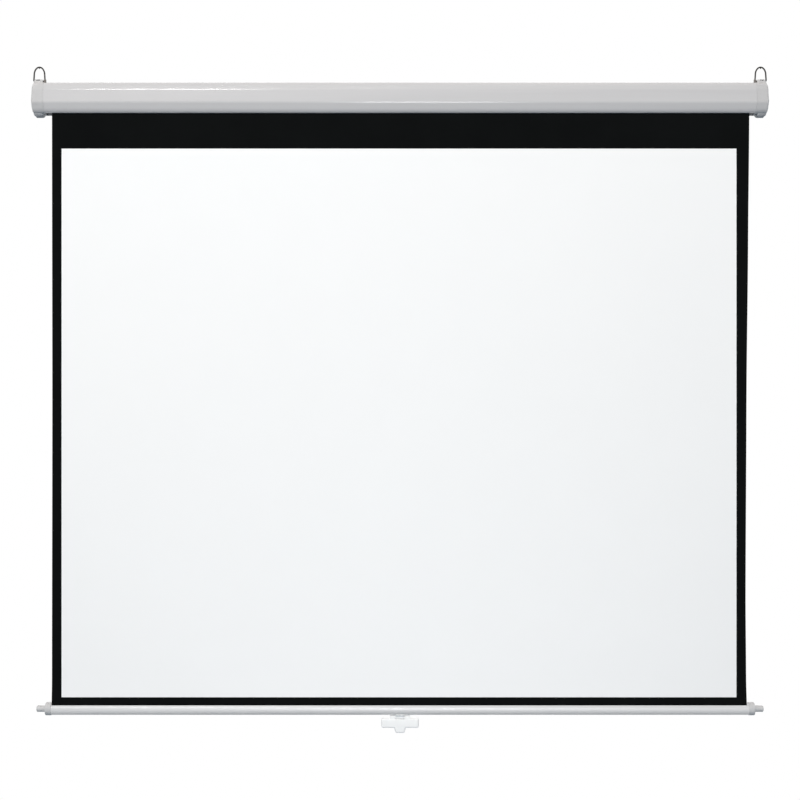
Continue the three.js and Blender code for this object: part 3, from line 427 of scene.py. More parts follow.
screenBorder = clothFinish("screenBorder", (0.0046, 0.0052, 0.0053), (0.0038, 0.0043, 0.0044), 0.8, 0.03)
screenBacking = clothFinish("screenBacking", (0.010, 0.010, 0.011), (0.007, 0.007, 0.008), 0.72, 0.2, weave=0.7)
galvanised = spangleFinish("galvanised", (0.52, 0.54, 0.56), (0.40, 0.42, 0.44))
springWire = drawnMetalFinish("springWire", (0.17, 0.175, 0.18), (0.12, 0.12, 0.125), 0.34, line=0.4)
naturalNylon = mouldedFinish("naturalNylon", (0.78, 0.76, 0.69), (0.73, 0.71, 0.64), roughness=0.5, grain=0.8)
brightZinc = drawnMetalFinish("brightZinc", (0.52, 0.54, 0.56), (0.46, 0.47, 0.46), 0.3, line=0.6)
print("finishes made")


studio = {
    # (how far up from straight down to straight up, colour)
    "sky": [(0.30, (0.24, 0.26, 0.28)), (0.52, (0.20, 0.265, 0.32)), (0.9, (0.41, 0.385, 0.375))],
    "sideShade": 0.6,  # how much of the sky's light is left straight to the left and right
    "floorZ": -2.2,
    "floorHalf": 9.0,
    "floorRoughness": 0.75,
    "paleFloor": (0.80, 0.80, 0.80),
    "floorBounce": (0.09, 0.14, 0.19),  # the floor's colour for the light that it throws back up
    "shadowSqueeze": (0.62, 1, 0),
    "shadowFade": (0.5, 1.1),  # squeezed distances between which the floor runs out to white
}
coolLight = (0.975, 0.99, 1)
softboxes = [
    {"name": "keySoftbox", "place": (-1.2, -6.4, 3.6), "aim": (0, 0, -0.8), "size": (2.2, 1.8), "watts": 418,
     "colour": (1, 0.968, 0.928)},
    {"name": "fillSoftbox", "place": (0.6, -4.6, -0.9), "aim": (0, 0, -0.8), "size": (2.0, 2.0), "watts": 4,
     "colour": coolLight},
    {"name": "lowSoftbox", "place": (0.05, -1.4, -1.8), "aim": (0, 0, -1.55), "size": (1.5, 0.3), "watts": 2.5,
     "colour": coolLight},
    {"name": "frontBank", "place": (0.17, -4.4, -0.9), "aim": (0, 0, -0.8), "size": (0.9, 1.3), "watts": 23,
     "colour": (0.97, 0.985, 1), "reflected": True},
    {"name": "bendStrip", "place": (-1.5, -4.4, 1.83), "aim": (-0.6, 0, 0), "size": (1.0, 0.22), "watts": 28,
     "colour": (1, 0.985, 0.97), "reflected": True},
    {"name": "sideSoftbox", "place": (-2.2, 0.1, 0.2), "aim": (0, 0, 0), "size": (0.5, 0.5), "watts": 5},
    {"name": "sideSoftbox", "place": (2.2, 0.1, 0.2), "aim": (0, 0, 0), "size": (0.5, 0.5), "watts": 5},
    {"name": "backSoftbox", "place": (0.6, 5.2, 0.7), "aim": (0, 0, -0.6), "size": (2.4, 2.0), "watts": 160},
]


def seenDirectly(tree):
    # camera, glossy and transmission rays
    rays = addNode(tree, "LightPath", {}).outputs
    both = maths(tree, "MAXIMUM", rays["Is Camera Ray"], rays["Is Glossy Ray"])
    return maths(tree, "MAXIMUM", both, rays["Is Transmission Ray"])


def studioWorld():
    # soft light from all round that is white where it is seen
    world = bpy.data.worlds.new("studioWorld")
    scene.world = world
    world.use_nodes = True
    tree = world.node_tree
    tree.nodes.clear()
    coords = addNode(tree, "TexCoord", {}).outputs["Generated"]
    towards = addNode(tree, "SeparateXYZ", {"Vector": coords}).outputs
    lift = addNode(tree, "MapRange", {"Value": towards["Z"], "From Min": -1}).outputs["Result"]
    sky = addNode(tree, "ValToRGB", {"Fac": lift})
    sky.color_ramp.elements.new(0.5)
    for stop, (at, colour) in zip(sky.color_ramp.elements, studio["sky"]):
        stop.position = at
        stop.color = (*colour, 1)
    sideways = maths(tree, "ABSOLUTE", towards["X"])
    shade = addNode(tree, "MapRange", {"Value": sideways, "To Min": 1, "To Max": studio["sideShade"]})
    soft = addNode(tree, "Background", {"Color": sky.outputs["Color"], "Strength": shade.outputs["Result"]})
    white = addNode(tree, "Background", {"Color": (1, 1, 1, 1), "Strength": 1})
    sides = {"Fac": seenDirectly(tree), 1: soft.outputs["Background"], 2: white.outputs["Background"]}
    chosen = addNode(tree, "MixShader", sides)
    addNode(tree, "OutputWorld", {"Surface": chosen.outputs["Shader"]})


def studioFloor():
    # pale floor that keeps the shadow under the screen and runs out to white further off
    half, z = studio["floorHalf"] / mm, studio["floorZ"] / mm
    corners = [(-half, -half, z), (half, -half, z), (half, half, z), (-half, half, z)]
    floor = addPiece("studioFloor", corners, [(0, 1, 2, 3)])
    pale, bounce = studio["paleFloor"], studio["floorBounce"]
    material, tree, shader = newFinish("paleFloor", pale, studio["floorRoughness"], specular=0.0)
    seen = seenDirectly(tree)
    colours = {"A": (*bounce, 1), "B": (*pale, 1), "Factor": seen}
    colour = addNode(tree, "Mix", colours, data_type="RGBA")
    fill(tree, shader, {"Base Color": colour.outputs["Result"]})
    coords = addNode(tree, "TexCoord", {}).outputs["Object"]
    squeezed = addNode(tree, "Mapping", {"Vector": coords, "Scale": studio["shadowSqueeze"]}).outputs["Vector"]
    away = addNode(tree, "VectorMath", {0: squeezed}, operation="LENGTH").outputs["Value"]
    near, far = studio["shadowFade"]
    distances = {"Value": away, "From Min": near, "From Max": far}
    fade = addNode(tree, "MapRange", distances, interpolation_type="SMOOTHSTEP").outputs["Result"]
    white = addNode(tree, "Emission", {"Color": (1, 1, 1, 1), "Strength": 1})
    farAndSeen = maths(tree, "MULTIPLY", fade, seen)
    sides = {"Fac": farAndSeen, 1: shader.outputs["BSDF"], 2: white.outputs["Emission"]}
    chosen = addNode(tree, "MixShader", sides)
    fill(tree, tree.nodes["Material Output"], {"Surface": chosen.outputs["Shader"]})
    floor.data.materials.append(material)


def softbox(name, place, aim, size, watts, colour=(1, 1, 1), reflected=False):
    # only a reflected lamp shows in glossy surfaces
    lamp = bpy.data.lights.new(name, "AREA")
    lamp.shape = "RECTANGLE"
    lamp.size, lamp.size_y = size
    lamp.energy = watts
    lamp.color = colour
    holder = bpy.data.objects.new(name, lamp)
    holder.location = place
    holder.rotation_euler = (Vector(aim) - Vector(place)).to_track_quat("-Z", "Y").to_euler()
    holder.visible_glossy = reflected
    scene.collection.objects.link(holder)


studioWorld()
studioFloor()
for setup in softboxes:
    softbox(**setup)
print("floor and lights placed")


case = {
    "half": 905,
    "front": -62,
    "top": 29.5,
    "crease": -23.5,
    "bottom": -47.5,
    "wall": 1.3,
    "frontRound": 14,
    "leanFrom": 9,  # height where the front face starts to lean back
    "lean": 8,
    "leanRound": 34,
    "rearRound": 6,
    "frontStep": 14.5,
    "rearStep": 16,
    "bulge": 2.2,
    "bulgeFrom": 0.3,  # up to here a lower face is left to the crease's rounding
    "bulgeSteps": 8,
    "creaseRound": 18,
    "cornerRound": 3,
    "mouthFront": -45,
    "mouthRear": -18.5,
    "lip": 5,
    "lipEdge": 0.9,
    "lipFoot": 0.2,
    "portOuter": 3.7,
    "portBore": 1.75,
    "portGap": 1.6,
    "ports": [(-54.06, 21.56), (-5, 24.5), (-4.6, -19.8), (-57.4, -19.8)],
}
rollerAxis = (-27, -4.5)


def caseFacet(start, end):
    # the leaning lower faces turn under towards the bottom
    peak = 27 / 4  # low * low * (1 - low) is 4 / 27 at its highest
    run = Vector(end) - Vector(start)
    out = Vector((run.y, -run.x)).normalized()
    points = []
    for i in range(1, case["bulgeSteps"]):
        share = i / case["bulgeSteps"]
        low = share if start[1] > end[1] else 1 - share
        if low >= case["bulgeFrom"]:
            p = Vector(start) + run * share + out * (peak * case["bulge"] * low * low * (1 - low))
            points.append((p.x, p.y, 0))
    return points


def caseOutline(sharp=False):
    # sharp leaves out the small roundings, for a wall's inner side
    front, top, crease, bottom = case["front"], case["top"], case["crease"], case["bottom"]
    corner, bend = (0, 0) if sharp else (case["cornerRound"], case["creaseRound"])
    underFront, underRear = (front + case["frontStep"], bottom), (-case["rearStep"], bottom)
    leanBack = (top - case["leanFrom"]) * math.tan(math.radians(case["lean"]))
    corners = [(*underFront, corner), (*underRear, corner), *caseFacet(underRear, (0, crease))]
    corners += [(0, crease, bend), (0, top, case["rearRound"]), (front + leanBack, top, case["frontRound"])]
    corners += [(front, case["leanFrom"], case["leanRound"]), (front, crease, bend)]
    return filleted(corners + caseFacet((front, crease), underFront), steps=12)


def portGap(y, z, reach):
    # the slit that opens a screw port towards the roller
    way = (Vector(rollerAxis) - Vector((y, z))).normalized()
    side = Vector((-way.y, way.x)) * case["portGap"] / 2
    here, there = Vector((y, z)), Vector((y, z)) + way * reach
    return [tuple(here - side), tuple(there - side), tuple(there + side), tuple(here + side)]


def buildCase():
    half, bottom, wall, edge = case["half"], case["bottom"], case["wall"], case["lipEdge"]
    over, lipTop = half + overcut, bottom + case["lip"]
    shell = prismX("caseShell", caseOutline(), -half, half)
    hollow = prismX("hollow", shrunk(caseOutline(True), wall), -over, over)
    mouth = block("mouth", (-over, case["mouthFront"], bottom - overcut), (over, case["mouthRear"], lipTop))
    carve(shell, hollow, mouth)
    added = []
    for y in (case["mouthFront"] - wall, case["mouthRear"]):
        # each lip ends in a small rolled bead so that the fabric never meets a raw edge
        added.append(block("lip", (-half, y, bottom + case["lipFoot"]), (half, y + wall, lipTop - edge / 2)))
        added.append(roundX("bead", y + wall / 2, lipTop - edge / 2, edge, -half, half, sides=20))
    added += [roundX("port", y, z, case["portOuter"], -half, half, sides=32) for y, z in case["ports"]]
    weld(shell, *added)
    bores = [roundX("bore", y, z, case["portBore"], -over, over, sides=24) for y, z in case["ports"]]
    gaps = [prismX("gap", portGap(y, z, case["portOuter"] + overcut), -over, over) for y, z in case["ports"]]
    carve(shell, *bores, *gaps)
    dress(shell, caseEnamel, "housing", ["housing_shell"], sharpAngle=24)


buildCase()
print("case built")


endCap = {
    "rim": 905.3,
    "end": 939.5,
    "crown": (8.6, 10.8),  # how deep the dome is, below and above the middle
    "power": (2.6, 2.2),
    "blend": (-8, 12),  # heights from the middle between which the lower dome turns into the upper
    "tipShare": 0.05,
    "domeRings": 16,
    "hollowRings": 8,
    "wall": 2.6,
    "tuck": 0.1,  # the inner bosses start this far inside the rim
    "skin": 0.3,  # and end this far under the dome
    "bearing": 11,
    "bearingFace": 903,
    "bearingEdge": 0.6,
    "bearingRoot": 3,
    "socketEnd": 918,
    "tangSocket": (1.8, 4.3),  # half its depth and half its height
    "bushSocket": 6.3,
    "tabInner": 893,
    "tabLow": -15,
    "tabHeight": 24,
    "tabThick": 2,
    "tabFit": 0.3,
    "tabEdge": 0.5,
    "tube": 5.2,
    "screwFloor": 4,
    "counterbore": 3.3,
    "screwHole": 1.9,
}
ear = {
    "x": 923.2,
    "y": -31,
    "width": 20.8,
    "depth": 14,
    "height": 11.3,
    "round": 2.6,
    "edge": 1.5,
    "flank": [(937.0, 22), (937.6, 27), (937.0, 31.5), (935.2, 34.6), (934.6, 37.5)],
    "flankRound": 3,
    "flare": 0.4,
    "rootDrop": 6,
    "pivotZ": 37,
    "bore": 2.25,
    "boreDepth": 6,
    "boreOvercut": 4,
    "slot": (919.5, 929.5),
    "slotZ": (37.8, 40.0),
    "slotDepth": 6,
}
cradle = {
    "x": 922.5,
    "width": 22,
    "drop": 9,
    "front": -47,
    "rear": -16.5,
    "round": 1.6,
    "squareness": 0.8,  # 1 makes its front view an ellipse, less makes it squarer
    "facets": 24,
    "recess": 8.3,
    "recessHalf": 14,
}
barAxis = (-33.3, -1568.1)
raisedBarZ = -59.5


def domed(name, outline, fromX, tipX, rings):
    # the case's outline, drawn in ring by ring to a flattened dome
    middleY, middleZ = case["front"] / 2, (case["top"] + case["bottom"]) / 2
    deepest = max(endCap["crown"])
    blendLow, blendHigh = endCap["blend"]
    rows = [[(fromX, y, z) for y, z in outline]]
    for k in range(rings + 1):
        out = deepest * math.sin(math.radians(90 * k / rings))
        share = []
        for crown, power in zip(endCap["crown"], endCap["power"]):
            within = max(out - deepest + crown, 0) / crown
            share.append(max((1 - within**power) ** (1 / power), endCap["tipShare"]))
        row = []
        for y, z in outline:
            upper = min(max((z - middleZ - blendLow) / (blendHigh - blendLow), 0), 1)
            s = share[0] + (share[1] - share[0]) * upper
            row.append((tipX - deepest + out, middleY + (y - middleY) * s, middleZ + (z - middleZ) * s))
        rows.append(row)
    return skinned(name, rows)


def earBlock():
    left, right = ear["x"] - ear["width"] / 2, ear["x"] + ear["width"] / 2
    low, top = case["top"] - endCap["wall"], case["top"] + ear["height"]
    foot, *flank, shoulder = ear["flank"]
    corners = [(left, low, 0), (right, low - ear["rootDrop"], 0), (*foot, 0)]
    corners += [(x, z, ear["flankRound"]) for x, z in flank]
    corners += [(*shoulder, 0), (right + ear["flare"], top, ear["round"]), (left, top, ear["round"])]
    rear, front = ear["y"] + ear["depth"] / 2, ear["y"] - ear["depth"] / 2
    return prismY("ear", filleted(corners, steps=8), rear, front, ear["edge"])


def cradleBlock():
    # half a pillow under the cap, which the pin's recess cuts into two horns
    front, rear, drop, facets = cradle["front"], cradle["rear"], cradle["drop"], cradle["facets"]
    middle, half = (front + rear) / 2, (rear - front) / 2
    bottom, root = case["bottom"], case["bottom"] + endCap["wall"]
    left, right = cradle["x"] - cradle["width"] / 2, cradle["x"] + cradle["width"] / 2
    endView = [(front, root), (rear, root)]
    for k in range(facets, -1, -1):
        u = 2 * k / facets - 1
        endView.append((middle + half * u, bottom - drop * (1 - u * u)))
    lobe = prismX("cradle", endView, left, right)
    frontView = [(right, root), (left, root)]
    for k in range(1, facets):
        c, s = math.cos(math.pi * k / facets), math.sin(math.pi * k / facets)
        across = math.copysign(abs(c) ** cradle["squareness"], c)
        down = (drop + 1) * s ** cradle["squareness"]
        frontView.append((cradle["x"] - cradle["width"] / 2 * across, bottom - down))
    limit = prismY("limit", frontView, rear + overcut, front - overcut)
    return softened(combine(lobe, [limit], "INTERSECT"), cradle["round"], angle=40)


def buildCap(name, socket):
    # the cap for the right end
    rim, end, tuck, wall = endCap["rim"], endCap["end"], endCap["tuck"], endCap["wall"]
    outline, rings = caseOutline(), endCap["domeRings"]
    cap = domed(name, outline, rim, end, rings)
    hollow = domed("hollow", shrunk(caseOutline(True), wall), rim - overcut, end - wall, endCap["hollowRings"])
    inside = roundX("bearing", *rollerAxis, endCap["bearing"], rim + tuck, end)
    weld(inside, *[roundX("tube", y, z, endCap["tube"], rim + tuck, end, sides=32) for y, z in case["ports"]])
    combine(inside, [domed("limit", outline, rim, end - endCap["skin"], rings)], "INTERSECT")
    noseEnd = endCap["socketEnd"] + endCap["bearingRoot"]
    nose = roundX("nose", *rollerAxis, endCap["bearing"], endCap["bearingFace"], noseEnd)
    softened(nose, endCap["bearingEdge"], segments=2)
    gap, thick = case["wall"] + endCap["tabFit"], endCap["tabThick"]
    low, high = endCap["tabLow"], endCap["tabLow"] + endCap["tabHeight"]
    tabs = []
    for y in (case["front"] + gap, -gap - thick):
        tab = block("tab", (endCap["tabInner"], y, low), (rim + wall, y + thick, high))
        tabs.append(softened(tab, endCap["tabEdge"], segments=2))
    carve(cap, hollow)
    weld(cap, inside, nose, *tabs, earBlock(), cradleBlock())
    recessFrom, recessTo = cradle["x"] - cradle["recessHalf"], cradle["x"] + cradle["recessHalf"]
    tools = [socket, roundX("recess", barAxis[0], raisedBarZ, cradle["recess"], recessFrom, recessTo, sides=64)]
    # the counterbores go down to the seats of the screws' heads
    start, seat, out = rim - overcut, rim + endCap["screwFloor"], end + overcut
    hole, lead = endCap["screwHole"], endCap["counterbore"]
    profile = [(0, start), (hole, start), (hole, seat), (lead, seat), (lead, out), (0, out)]
    tools += [turnedX("counterbore", profile, y, z, sides=40) for y, z in case["ports"]]
    left, right, deep = ear["x"] - ear["width"] / 2, ear["x"] + ear["width"] / 2, ear["boreDepth"]
    for fromX, toX in ((left - overcut, left + deep), (right - deep, right + ear["boreOvercut"])):
        tools.append(roundX("bore", ear["y"], ear["pivotZ"], ear["bore"], fromX, toX, sides=32))
    front = ear["y"] - ear["depth"] / 2
    (slotLeft, slotRight), (slotLow, slotTop) = ear["slot"], ear["slotZ"]
    slotEnd = (slotRight, front + ear["slotDepth"], slotTop)
    tools.append(block("slot", (slotLeft, front - overcut, slotLow), slotEnd))
    return carve(cap, *tools)


def tangSocket():
    (y, z), (deep, high) = rollerAxis, endCap["tangSocket"]
    start = endCap["bearingFace"] - overcut
    return block("socket", (start, y - deep, z - high), (endCap["socketEnd"], y + deep, z + high))


def bushSocket():
    start = endCap["bearingFace"] - overcut
    return roundX("socket", *rollerAxis, endCap["bushSocket"], start, endCap["socketEnd"])


rightCap = buildCap("capRight", bushSocket())
leftCap = buildCap("capLeft", tangSocket())
reworkMesh(leftCap.data, swapEnds)
dress(rightCap, capMoulding, "housing", ["end_cap_right"])
dress(leftCap, capMoulding, "housing", ["end_cap_left"])
print("end caps built")


# pan heads with a cross recess
capScrew = {
    "headRadius": 2.9,
    "headHeight": 2.2,
    "headSide": 0.4,  # how much of the head's height is straight
    "headPower": 0.6,
    "seatGap": 0.3,
    "radius": 1.4,
    "length": 16,
    "tip": [(0, 0), (0.35, 0.2), (1.12, 1.5)],
    "neck": [(1.19, -0.8), (1.4, -0.3), (1.4, 0)],
    "threadFrom": 1.6,
    "core": 0.78,
    "pitch": 0.9,
    "turns": 14,
    "slotHalf": 0.375,
    "slotReach": 1.798,
    "slotDepths": (1.1, 1.089),
}


def thread(screw, tip, crest):
    # crest says at which shares of the pitch the thread has its full radius
    r, pitch = screw["radius"], screw["pitch"]
    profile = []
    for k in range(screw["turns"]):
        x = tip + screw["threadFrom"] + k * pitch
        profile += [(r * screw["core"], x), *[(r, x + pitch * share) for share in crest]]
    return profile


def crossCut(screw, cross, top, y, z):
    # the two slots differ a hair in depth, so that their floors never lie in one plane
    w, reach = cross["slotHalf"], cross["slotReach"]
    one, two = (top - depth for depth in cross["slotDepths"])
    upright = block("slot", (one, y - w, z - reach), (top + 1, y + w, z + reach))
    level = block("slot", (two, y - reach, z - w), (top + 1, y + reach, z + w))
    return carve(screw, upright, level)


def buildCapScrew(name, y, z):
    seat = endCap["rim"] + endCap["screwFloor"] + capScrew["seatGap"]
    tip = seat - capScrew["length"]
    head, high, straight = capScrew["headRadius"], capScrew["headHeight"], capScrew["headSide"]
    profile = [(r, tip + x) for r, x in capScrew["tip"]] + thread(capScrew, tip, (0.45, 0.55))
    profile += [(r, seat + x) for r, x in capScrew["neck"]] + [(head, seat), (head, seat + high * straight)]
    for turn in [math.radians(90 * k / 6) for k in range(1, 6)]:
        radius = head * math.cos(turn) ** capScrew["headPower"]
        profile.append((radius, seat + high * (straight + (1 - straight) * math.sin(turn))))
    screw = turnedX(name, profile + [(0, seat + high)], y, z, sides=28)
    return crossCut(screw, capScrew, seat + high, y, z)


for k, (y, z) in enumerate(case["ports"], 1):
    right = buildCapScrew(f"capScrewRight{k}", y, z)
    left = mirrored(right, f"capScrewLeft{k}")
    dress(right, brightZinc, "housing", [f"cap_screw_right_{k}"])
    dress(left, brightZinc, "housing", [f"cap_screw_left_{k}"])
print("cap screws built")


# the hanging loops, sizes from the pivot
loop = {
    "x": 923.2,
    "y": -31,
    "z": 37,
    "wire": 1.9,
    "foot": 4.7,
    "footHalf": 14.2,
    "archHalf": 13.3,
    "archRise": 19,
    "height": 36.4,
    "bend": 3.4,
    "legSteps": 9,
    "spurDepth": 3,
    "spurHalf": 2.2,
    "spurRoot": 0.9,
    "spurTip": 0.5,
    "spurThick": 2.6,
    "sides": 20,
    # collar on the inner leg, with a groove round its middle: (radius, height) round its section
    "sleeve": [
        (1.95, -6), (2.9, -6), (3.4, -5.5), (3.4, -0.9), (3.05, -0.6),
        (3.05, 0.1), (3.4, 0.4), (3.4, 4.3), (2.7, 5), (1.95, 5),
    ],
    "sleeveX": -14.1,
    "sleeveSides": 40,
}


def wirePath():
    # one foot, leg, the arch and down again, in (x, z) about the pivot
    bend, foot, half, crest = loop["bend"], loop["footHalf"], loop["archHalf"], loop["archRise"]
    rise = loop["height"] - crest
    left = [(-loop["foot"], 0.0), (-foot + bend, 0.0), *arc(-foot + bend, bend, bend, -100, -180, steps=8)]
    for k in range(1, loop["legSteps"]):
        share = k / loop["legSteps"]
        left.append((-foot + (foot - half) * share, bend + (rise - bend) * share))
    turns = [math.radians(a) for a in range(0, 181, 6)]
    top = [(-half * math.cos(a), rise + crest * math.sin(a)) for a in turns]
    return left + top + [(-x, z) for x, z in reversed(left)]


def buildLoop(name):
    path, radius = wirePath(), loop["wire"]
    rings = []
    for i, (x, z) in enumerate(path):
        before, after = path[max(i - 1, 0)], path[min(i + 1, len(path) - 1)]
        way = Vector((after[0] - before[0], after[1] - before[1])).normalized()
        across = Vector((-way.y, way.x))
        ring = []
        for turn in [2 * math.pi * k / loop["sides"] for k in range(loop["sides"])]:
            out = across * (radius * math.cos(turn))
            ring.append((loop["x"] + x + out.x, loop["y"] + radius * math.sin(turn), loop["z"] + z + out.y))
        rings.append(ring)
    wire = skinned(name, rings)
    top, half, thick = loop["z"] + loop["height"], loop["spurHalf"], loop["spurThick"]
    root, tip = top - loop["spurRoot"], top - radius - loop["spurDepth"]
    corners = [(loop["x"] - half, root, 0), (loop["x"], tip, loop["spurTip"]), (loop["x"] + half, root, 0)]
    return weld(wire, prismY("spur", filleted(corners, steps=5), loop["y"] + thick / 2, loop["y"] - thick / 2))


def buildSleeve(name):
    sides, verts, faces = loop["sleeveSides"], [], []
    for radius, up in loop["sleeve"]:
        ring = circle(loop["x"] + loop["sleeveX"], loop["y"], radius, sides)
        verts += [(x, y, loop["z"] + up) for x, y in ring]
    n = len(loop["sleeve"])
    for i in range(n):
        a, b = i * sides, (i + 1) % n * sides
        faces += [(a + k, a + (k + 1) % sides, b + (k + 1) % sides, b + k) for k in range(sides)]
    return addPiece(name, verts, faces)


rightLoop, rightSleeve = buildLoop("hangingLoopRight"), buildSleeve("loopSleeveRight")
leftLoop, leftSleeve = mirrored(rightLoop, "hangingLoopLeft"), mirrored(rightSleeve, "loopSleeveLeft")
dress(rightLoop, darkPlating, "hanging_loop_right", ["hanging_loop_right"], sharpAngle=40)
dress(leftLoop, darkPlating, "hanging_loop_left", ["hanging_loop_left"], sharpAngle=40)
dress(rightSleeve, footSleeve, "hanging_loop_right")
dress(leftSleeve, footSleeve, "hanging_loop_left")
print("hanging loops built")


screen = {
    "y": -43.5,
    "thickness": 0.4,
    "top": -4.5,
    "bottom": -1560.8,
    "imageLeft": -863.0,
    "imageRight": 857.9,
    "imageTop": -137.5,
    "imageBottom": -1536.5,
    # (height, edge): the selvedges are pulled in a little below the case
    "leftEdge": [(0, -887.5), (-64.5, -887.5), (-778.5, -886.6), (-1492.5, -887.5), (-1561, -888.4)],
    "rightEdge": [
        (0, 891.4), (-64.5, 890.6), (-370.5, 887.7), (-778.5, 883.4),
        (-1288.5, 881.2), (-1492.5, 882.7), (-1561, 884.5),
    ],
    "border": 3,  # columns of faces in each side border
    "column": 36,  # widest face in the image
    "rows": (12, 28, 8),  # tallest face in the head band, the image and the foot
    "ripple": 0.45,
    "rippleFrom": -60,
    "waves": [(148, 700, 0, 0.6), (61, -420, 1.3, 0.4)],  # (length across, length down, start, share)
    "travel": 1508.6,
    "flat": (1.78, 1.5563),
}


def edgeAt(profile, z):
    for (zHigh, xHigh), (zLow, xLow) in zip(profile, profile[1:]):
        if z >= zLow:
            share = (zHigh - z) / (zHigh - zLow)
            smooth = share * share * (3 - 2 * share)
            return xHigh + (xLow - xHigh) * (share * 0.5 + smooth * 0.5)
    return profile[-1][1]


def steps(start, end, most):
    count = max(1, math.ceil(abs(end - start) / most))
    return [start + (end - start) * i / count for i in range(count)]


def rippleAt(x, z):
    # none at the case and at the bar, most half way down
    hangFrom = screen["rippleFrom"]
    hang = math.sin(math.pi * min(max((z - hangFrom) / (screen["bottom"] - hangFrom), 0), 1))
    wave = sum(math.sin(x / wide + z / high + start) * share for wide, high, start, share in screen["waves"])
    return screen["ripple"] * hang * wave


def buildScreen():
    y, half, n = screen["y"], screen["thickness"] / 2, screen["border"]
    top, bottom = screen["top"], screen["bottom"]
    imageTop, imageBottom, (head, image, foot) = screen["imageTop"], screen["imageBottom"], screen["rows"]
    rows = steps(top, imageTop, head) + steps(imageTop, imageBottom, image)
    rows += steps(imageBottom, bottom, foot) + [bottom]
    inner = steps(screen["imageLeft"], screen["imageRight"], screen["column"]) + [screen["imageRight"]]
    across = len(inner) + 2 * n
    verts, faces, kinds = [], [], []
    for side in (-half, half):
        for z in rows:
            left, right = edgeAt(screen["leftEdge"], z), edgeAt(screen["rightEdge"], z)
            leftBand = [left + (inner[0] - left) * k / n for k in range(n)]
            rightBand = [inner[-1] + (right - inner[-1]) * k / n for k in range(1, n + 1)]
            verts += [(x, y + side + rippleAt(x, z), z) for x in leftBand + inner + rightBand]
    count, last = len(rows) * across, (len(rows) - 1) * across
    for r in range(len(rows) - 1):
        lit = imageBottom < (rows[r] + rows[r + 1]) / 2 < imageTop
        for c in range(across - 1):
            a, b = r * across + c, (r + 1) * across + c
            faces += [(a, a + 1, b + 1, b), (a + count, b + count, b + 1 + count, a + 1 + count)]
            kinds += [0 if lit and n <= c < across - n - 1 else 1, 2]
    for c in range(across - 1):
        low = last + c
        faces += [(c + 1, c, c + count, c + 1 + count), (low, low + 1, low + 1 + count, low + count)]
    for a in range(0, last, across):
        b, right = a + across, across - 1
        faces += [(a, b, b + count, a + count), (b + right, a + right, a + right + count, b + right + count)]
    kinds += [1] * (len(faces) - len(kinds))
    cloth = addPiece("screenSheet", verts, faces)
    for material in (screenWhite, screenBorder, screenBacking):
        cloth.data.materials.append(material)
    cloth.data.polygons.foreach_set("material_index", kinds)
    dress(cloth, None, "housing", ["screen_fabric"], sharpAngle=40)
    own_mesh(cloth)


buildScreen()


# the turns that stay on the roller
wrap = {"startRadius": 14.39, "pitch": 1.0, "thickness": 0.45, "turns": 1.25, "half": 890, "steps": 120}


def buildWrap():
    outer, inner = [], []
    for i in range(wrap["steps"] + 1):
        turned = wrap["turns"] * i / wrap["steps"]
        angle = math.pi - (wrap["turns"] - turned) * 2 * math.pi
        radius = wrap["startRadius"] + wrap["pitch"] * turned
        for r, side in ((radius, inner), (radius + wrap["thickness"], outer)):
            side.append((rollerAxis[0] + r * math.cos(angle), rollerAxis[1] + r * math.sin(angle)))
    roll = prismX("screenRoll", outer + inner[::-1], -wrap["half"], wrap["half"])
    dress(roll, screenBorder, "roller", ["fabric_wrap"], sharpAngle=40)


buildWrap()
print("fabric hung")


bottomBar = {
    "half": 890,
    "radius": 15.5,
    "wall": 1.4,
    "skin": 0.2,  # the channel for the hem ends this far under the bar's surface
    "boreY": -43.5,
    "boreRise": 5,
    "bore": 2.6,
    "slot": 1.6,
    "channelWall": 1.2,
    "neckTop": 11.6,
    "grooves": [-62, -118],  # degrees round the axis, two fine locating lines under the bar
    "groove": 0.35,
}


def buildBar():
    cy, cz = barAxis
    half, r, slot = bottomBar["half"], bottomBar["radius"], bottomBar["slot"] / 2
    bore, wall, over = bottomBar["bore"], bottomBar["channelWall"], bottomBar["half"] + overcut
    boreY, boreZ = bottomBar["boreY"], cz + bottomBar["boreRise"]
    tube = roundX("barTube", cy, cz, r, -half, half, sides=128)
    carve(tube, roundX("inside", cy, cz, r - bottomBar["wall"], -over, over, sides=96))
    channel = roundX("channel", boreY, boreZ, bore + wall, -half, half, sides=40)
    neckHalf = slot + wall
    neck = block("neck", (-half, boreY - neckHalf, boreZ), (half, boreY + neckHalf, cz + bottomBar["neckTop"]))
    for piece in (channel, neck):
        limit = roundX("limit", cy, cz, r - bottomBar["skin"], -over, over, sides=128)
        combine(piece, [limit], "INTERSECT")
    weld(tube, channel, neck)
    tools = [block("entry", (-over, boreY - slot, boreZ), (over, boreY + slot, cz + r + overcut))]
    tools.append(roundX("bore", boreY, boreZ, bore, -over, over, sides=40))
    for turn in map(math.radians, bottomBar["grooves"]):
        y, z = cy + r * math.cos(turn), cz + r * math.sin(turn)
        tools.append(roundX("groove", y, z, bottomBar["groove"], -over, over, sides=12))
    carve(tube, *tools)
    dress(tube, satinAluminium, "bottom_bar", ["bottom_bar"], sharpAngle=24)


buildBar()

barEnd = {
    "face": 890.3,
    "collar": 16.5,
    "collarLength": 14.7,
    "chamfer": 1.2,
    "groove": 0.5,
    "pin": 8,
    "pinLength": 23.8,
    "pinRoot": 0.8,
    "nose": 3,
    "dish": [(1.4, 0), (1.9, 0.6)],  # (in from the nose, down from the tip)
    "plug": 13.8,
    "plugLength": 20,
    "channelFit": 0.4,
    "neckFit": 0.3,
    "neckTop": 15.5,
    "fullFace": 0.15,  # what is left of the collar's face beside the cut for the bar's channel
}


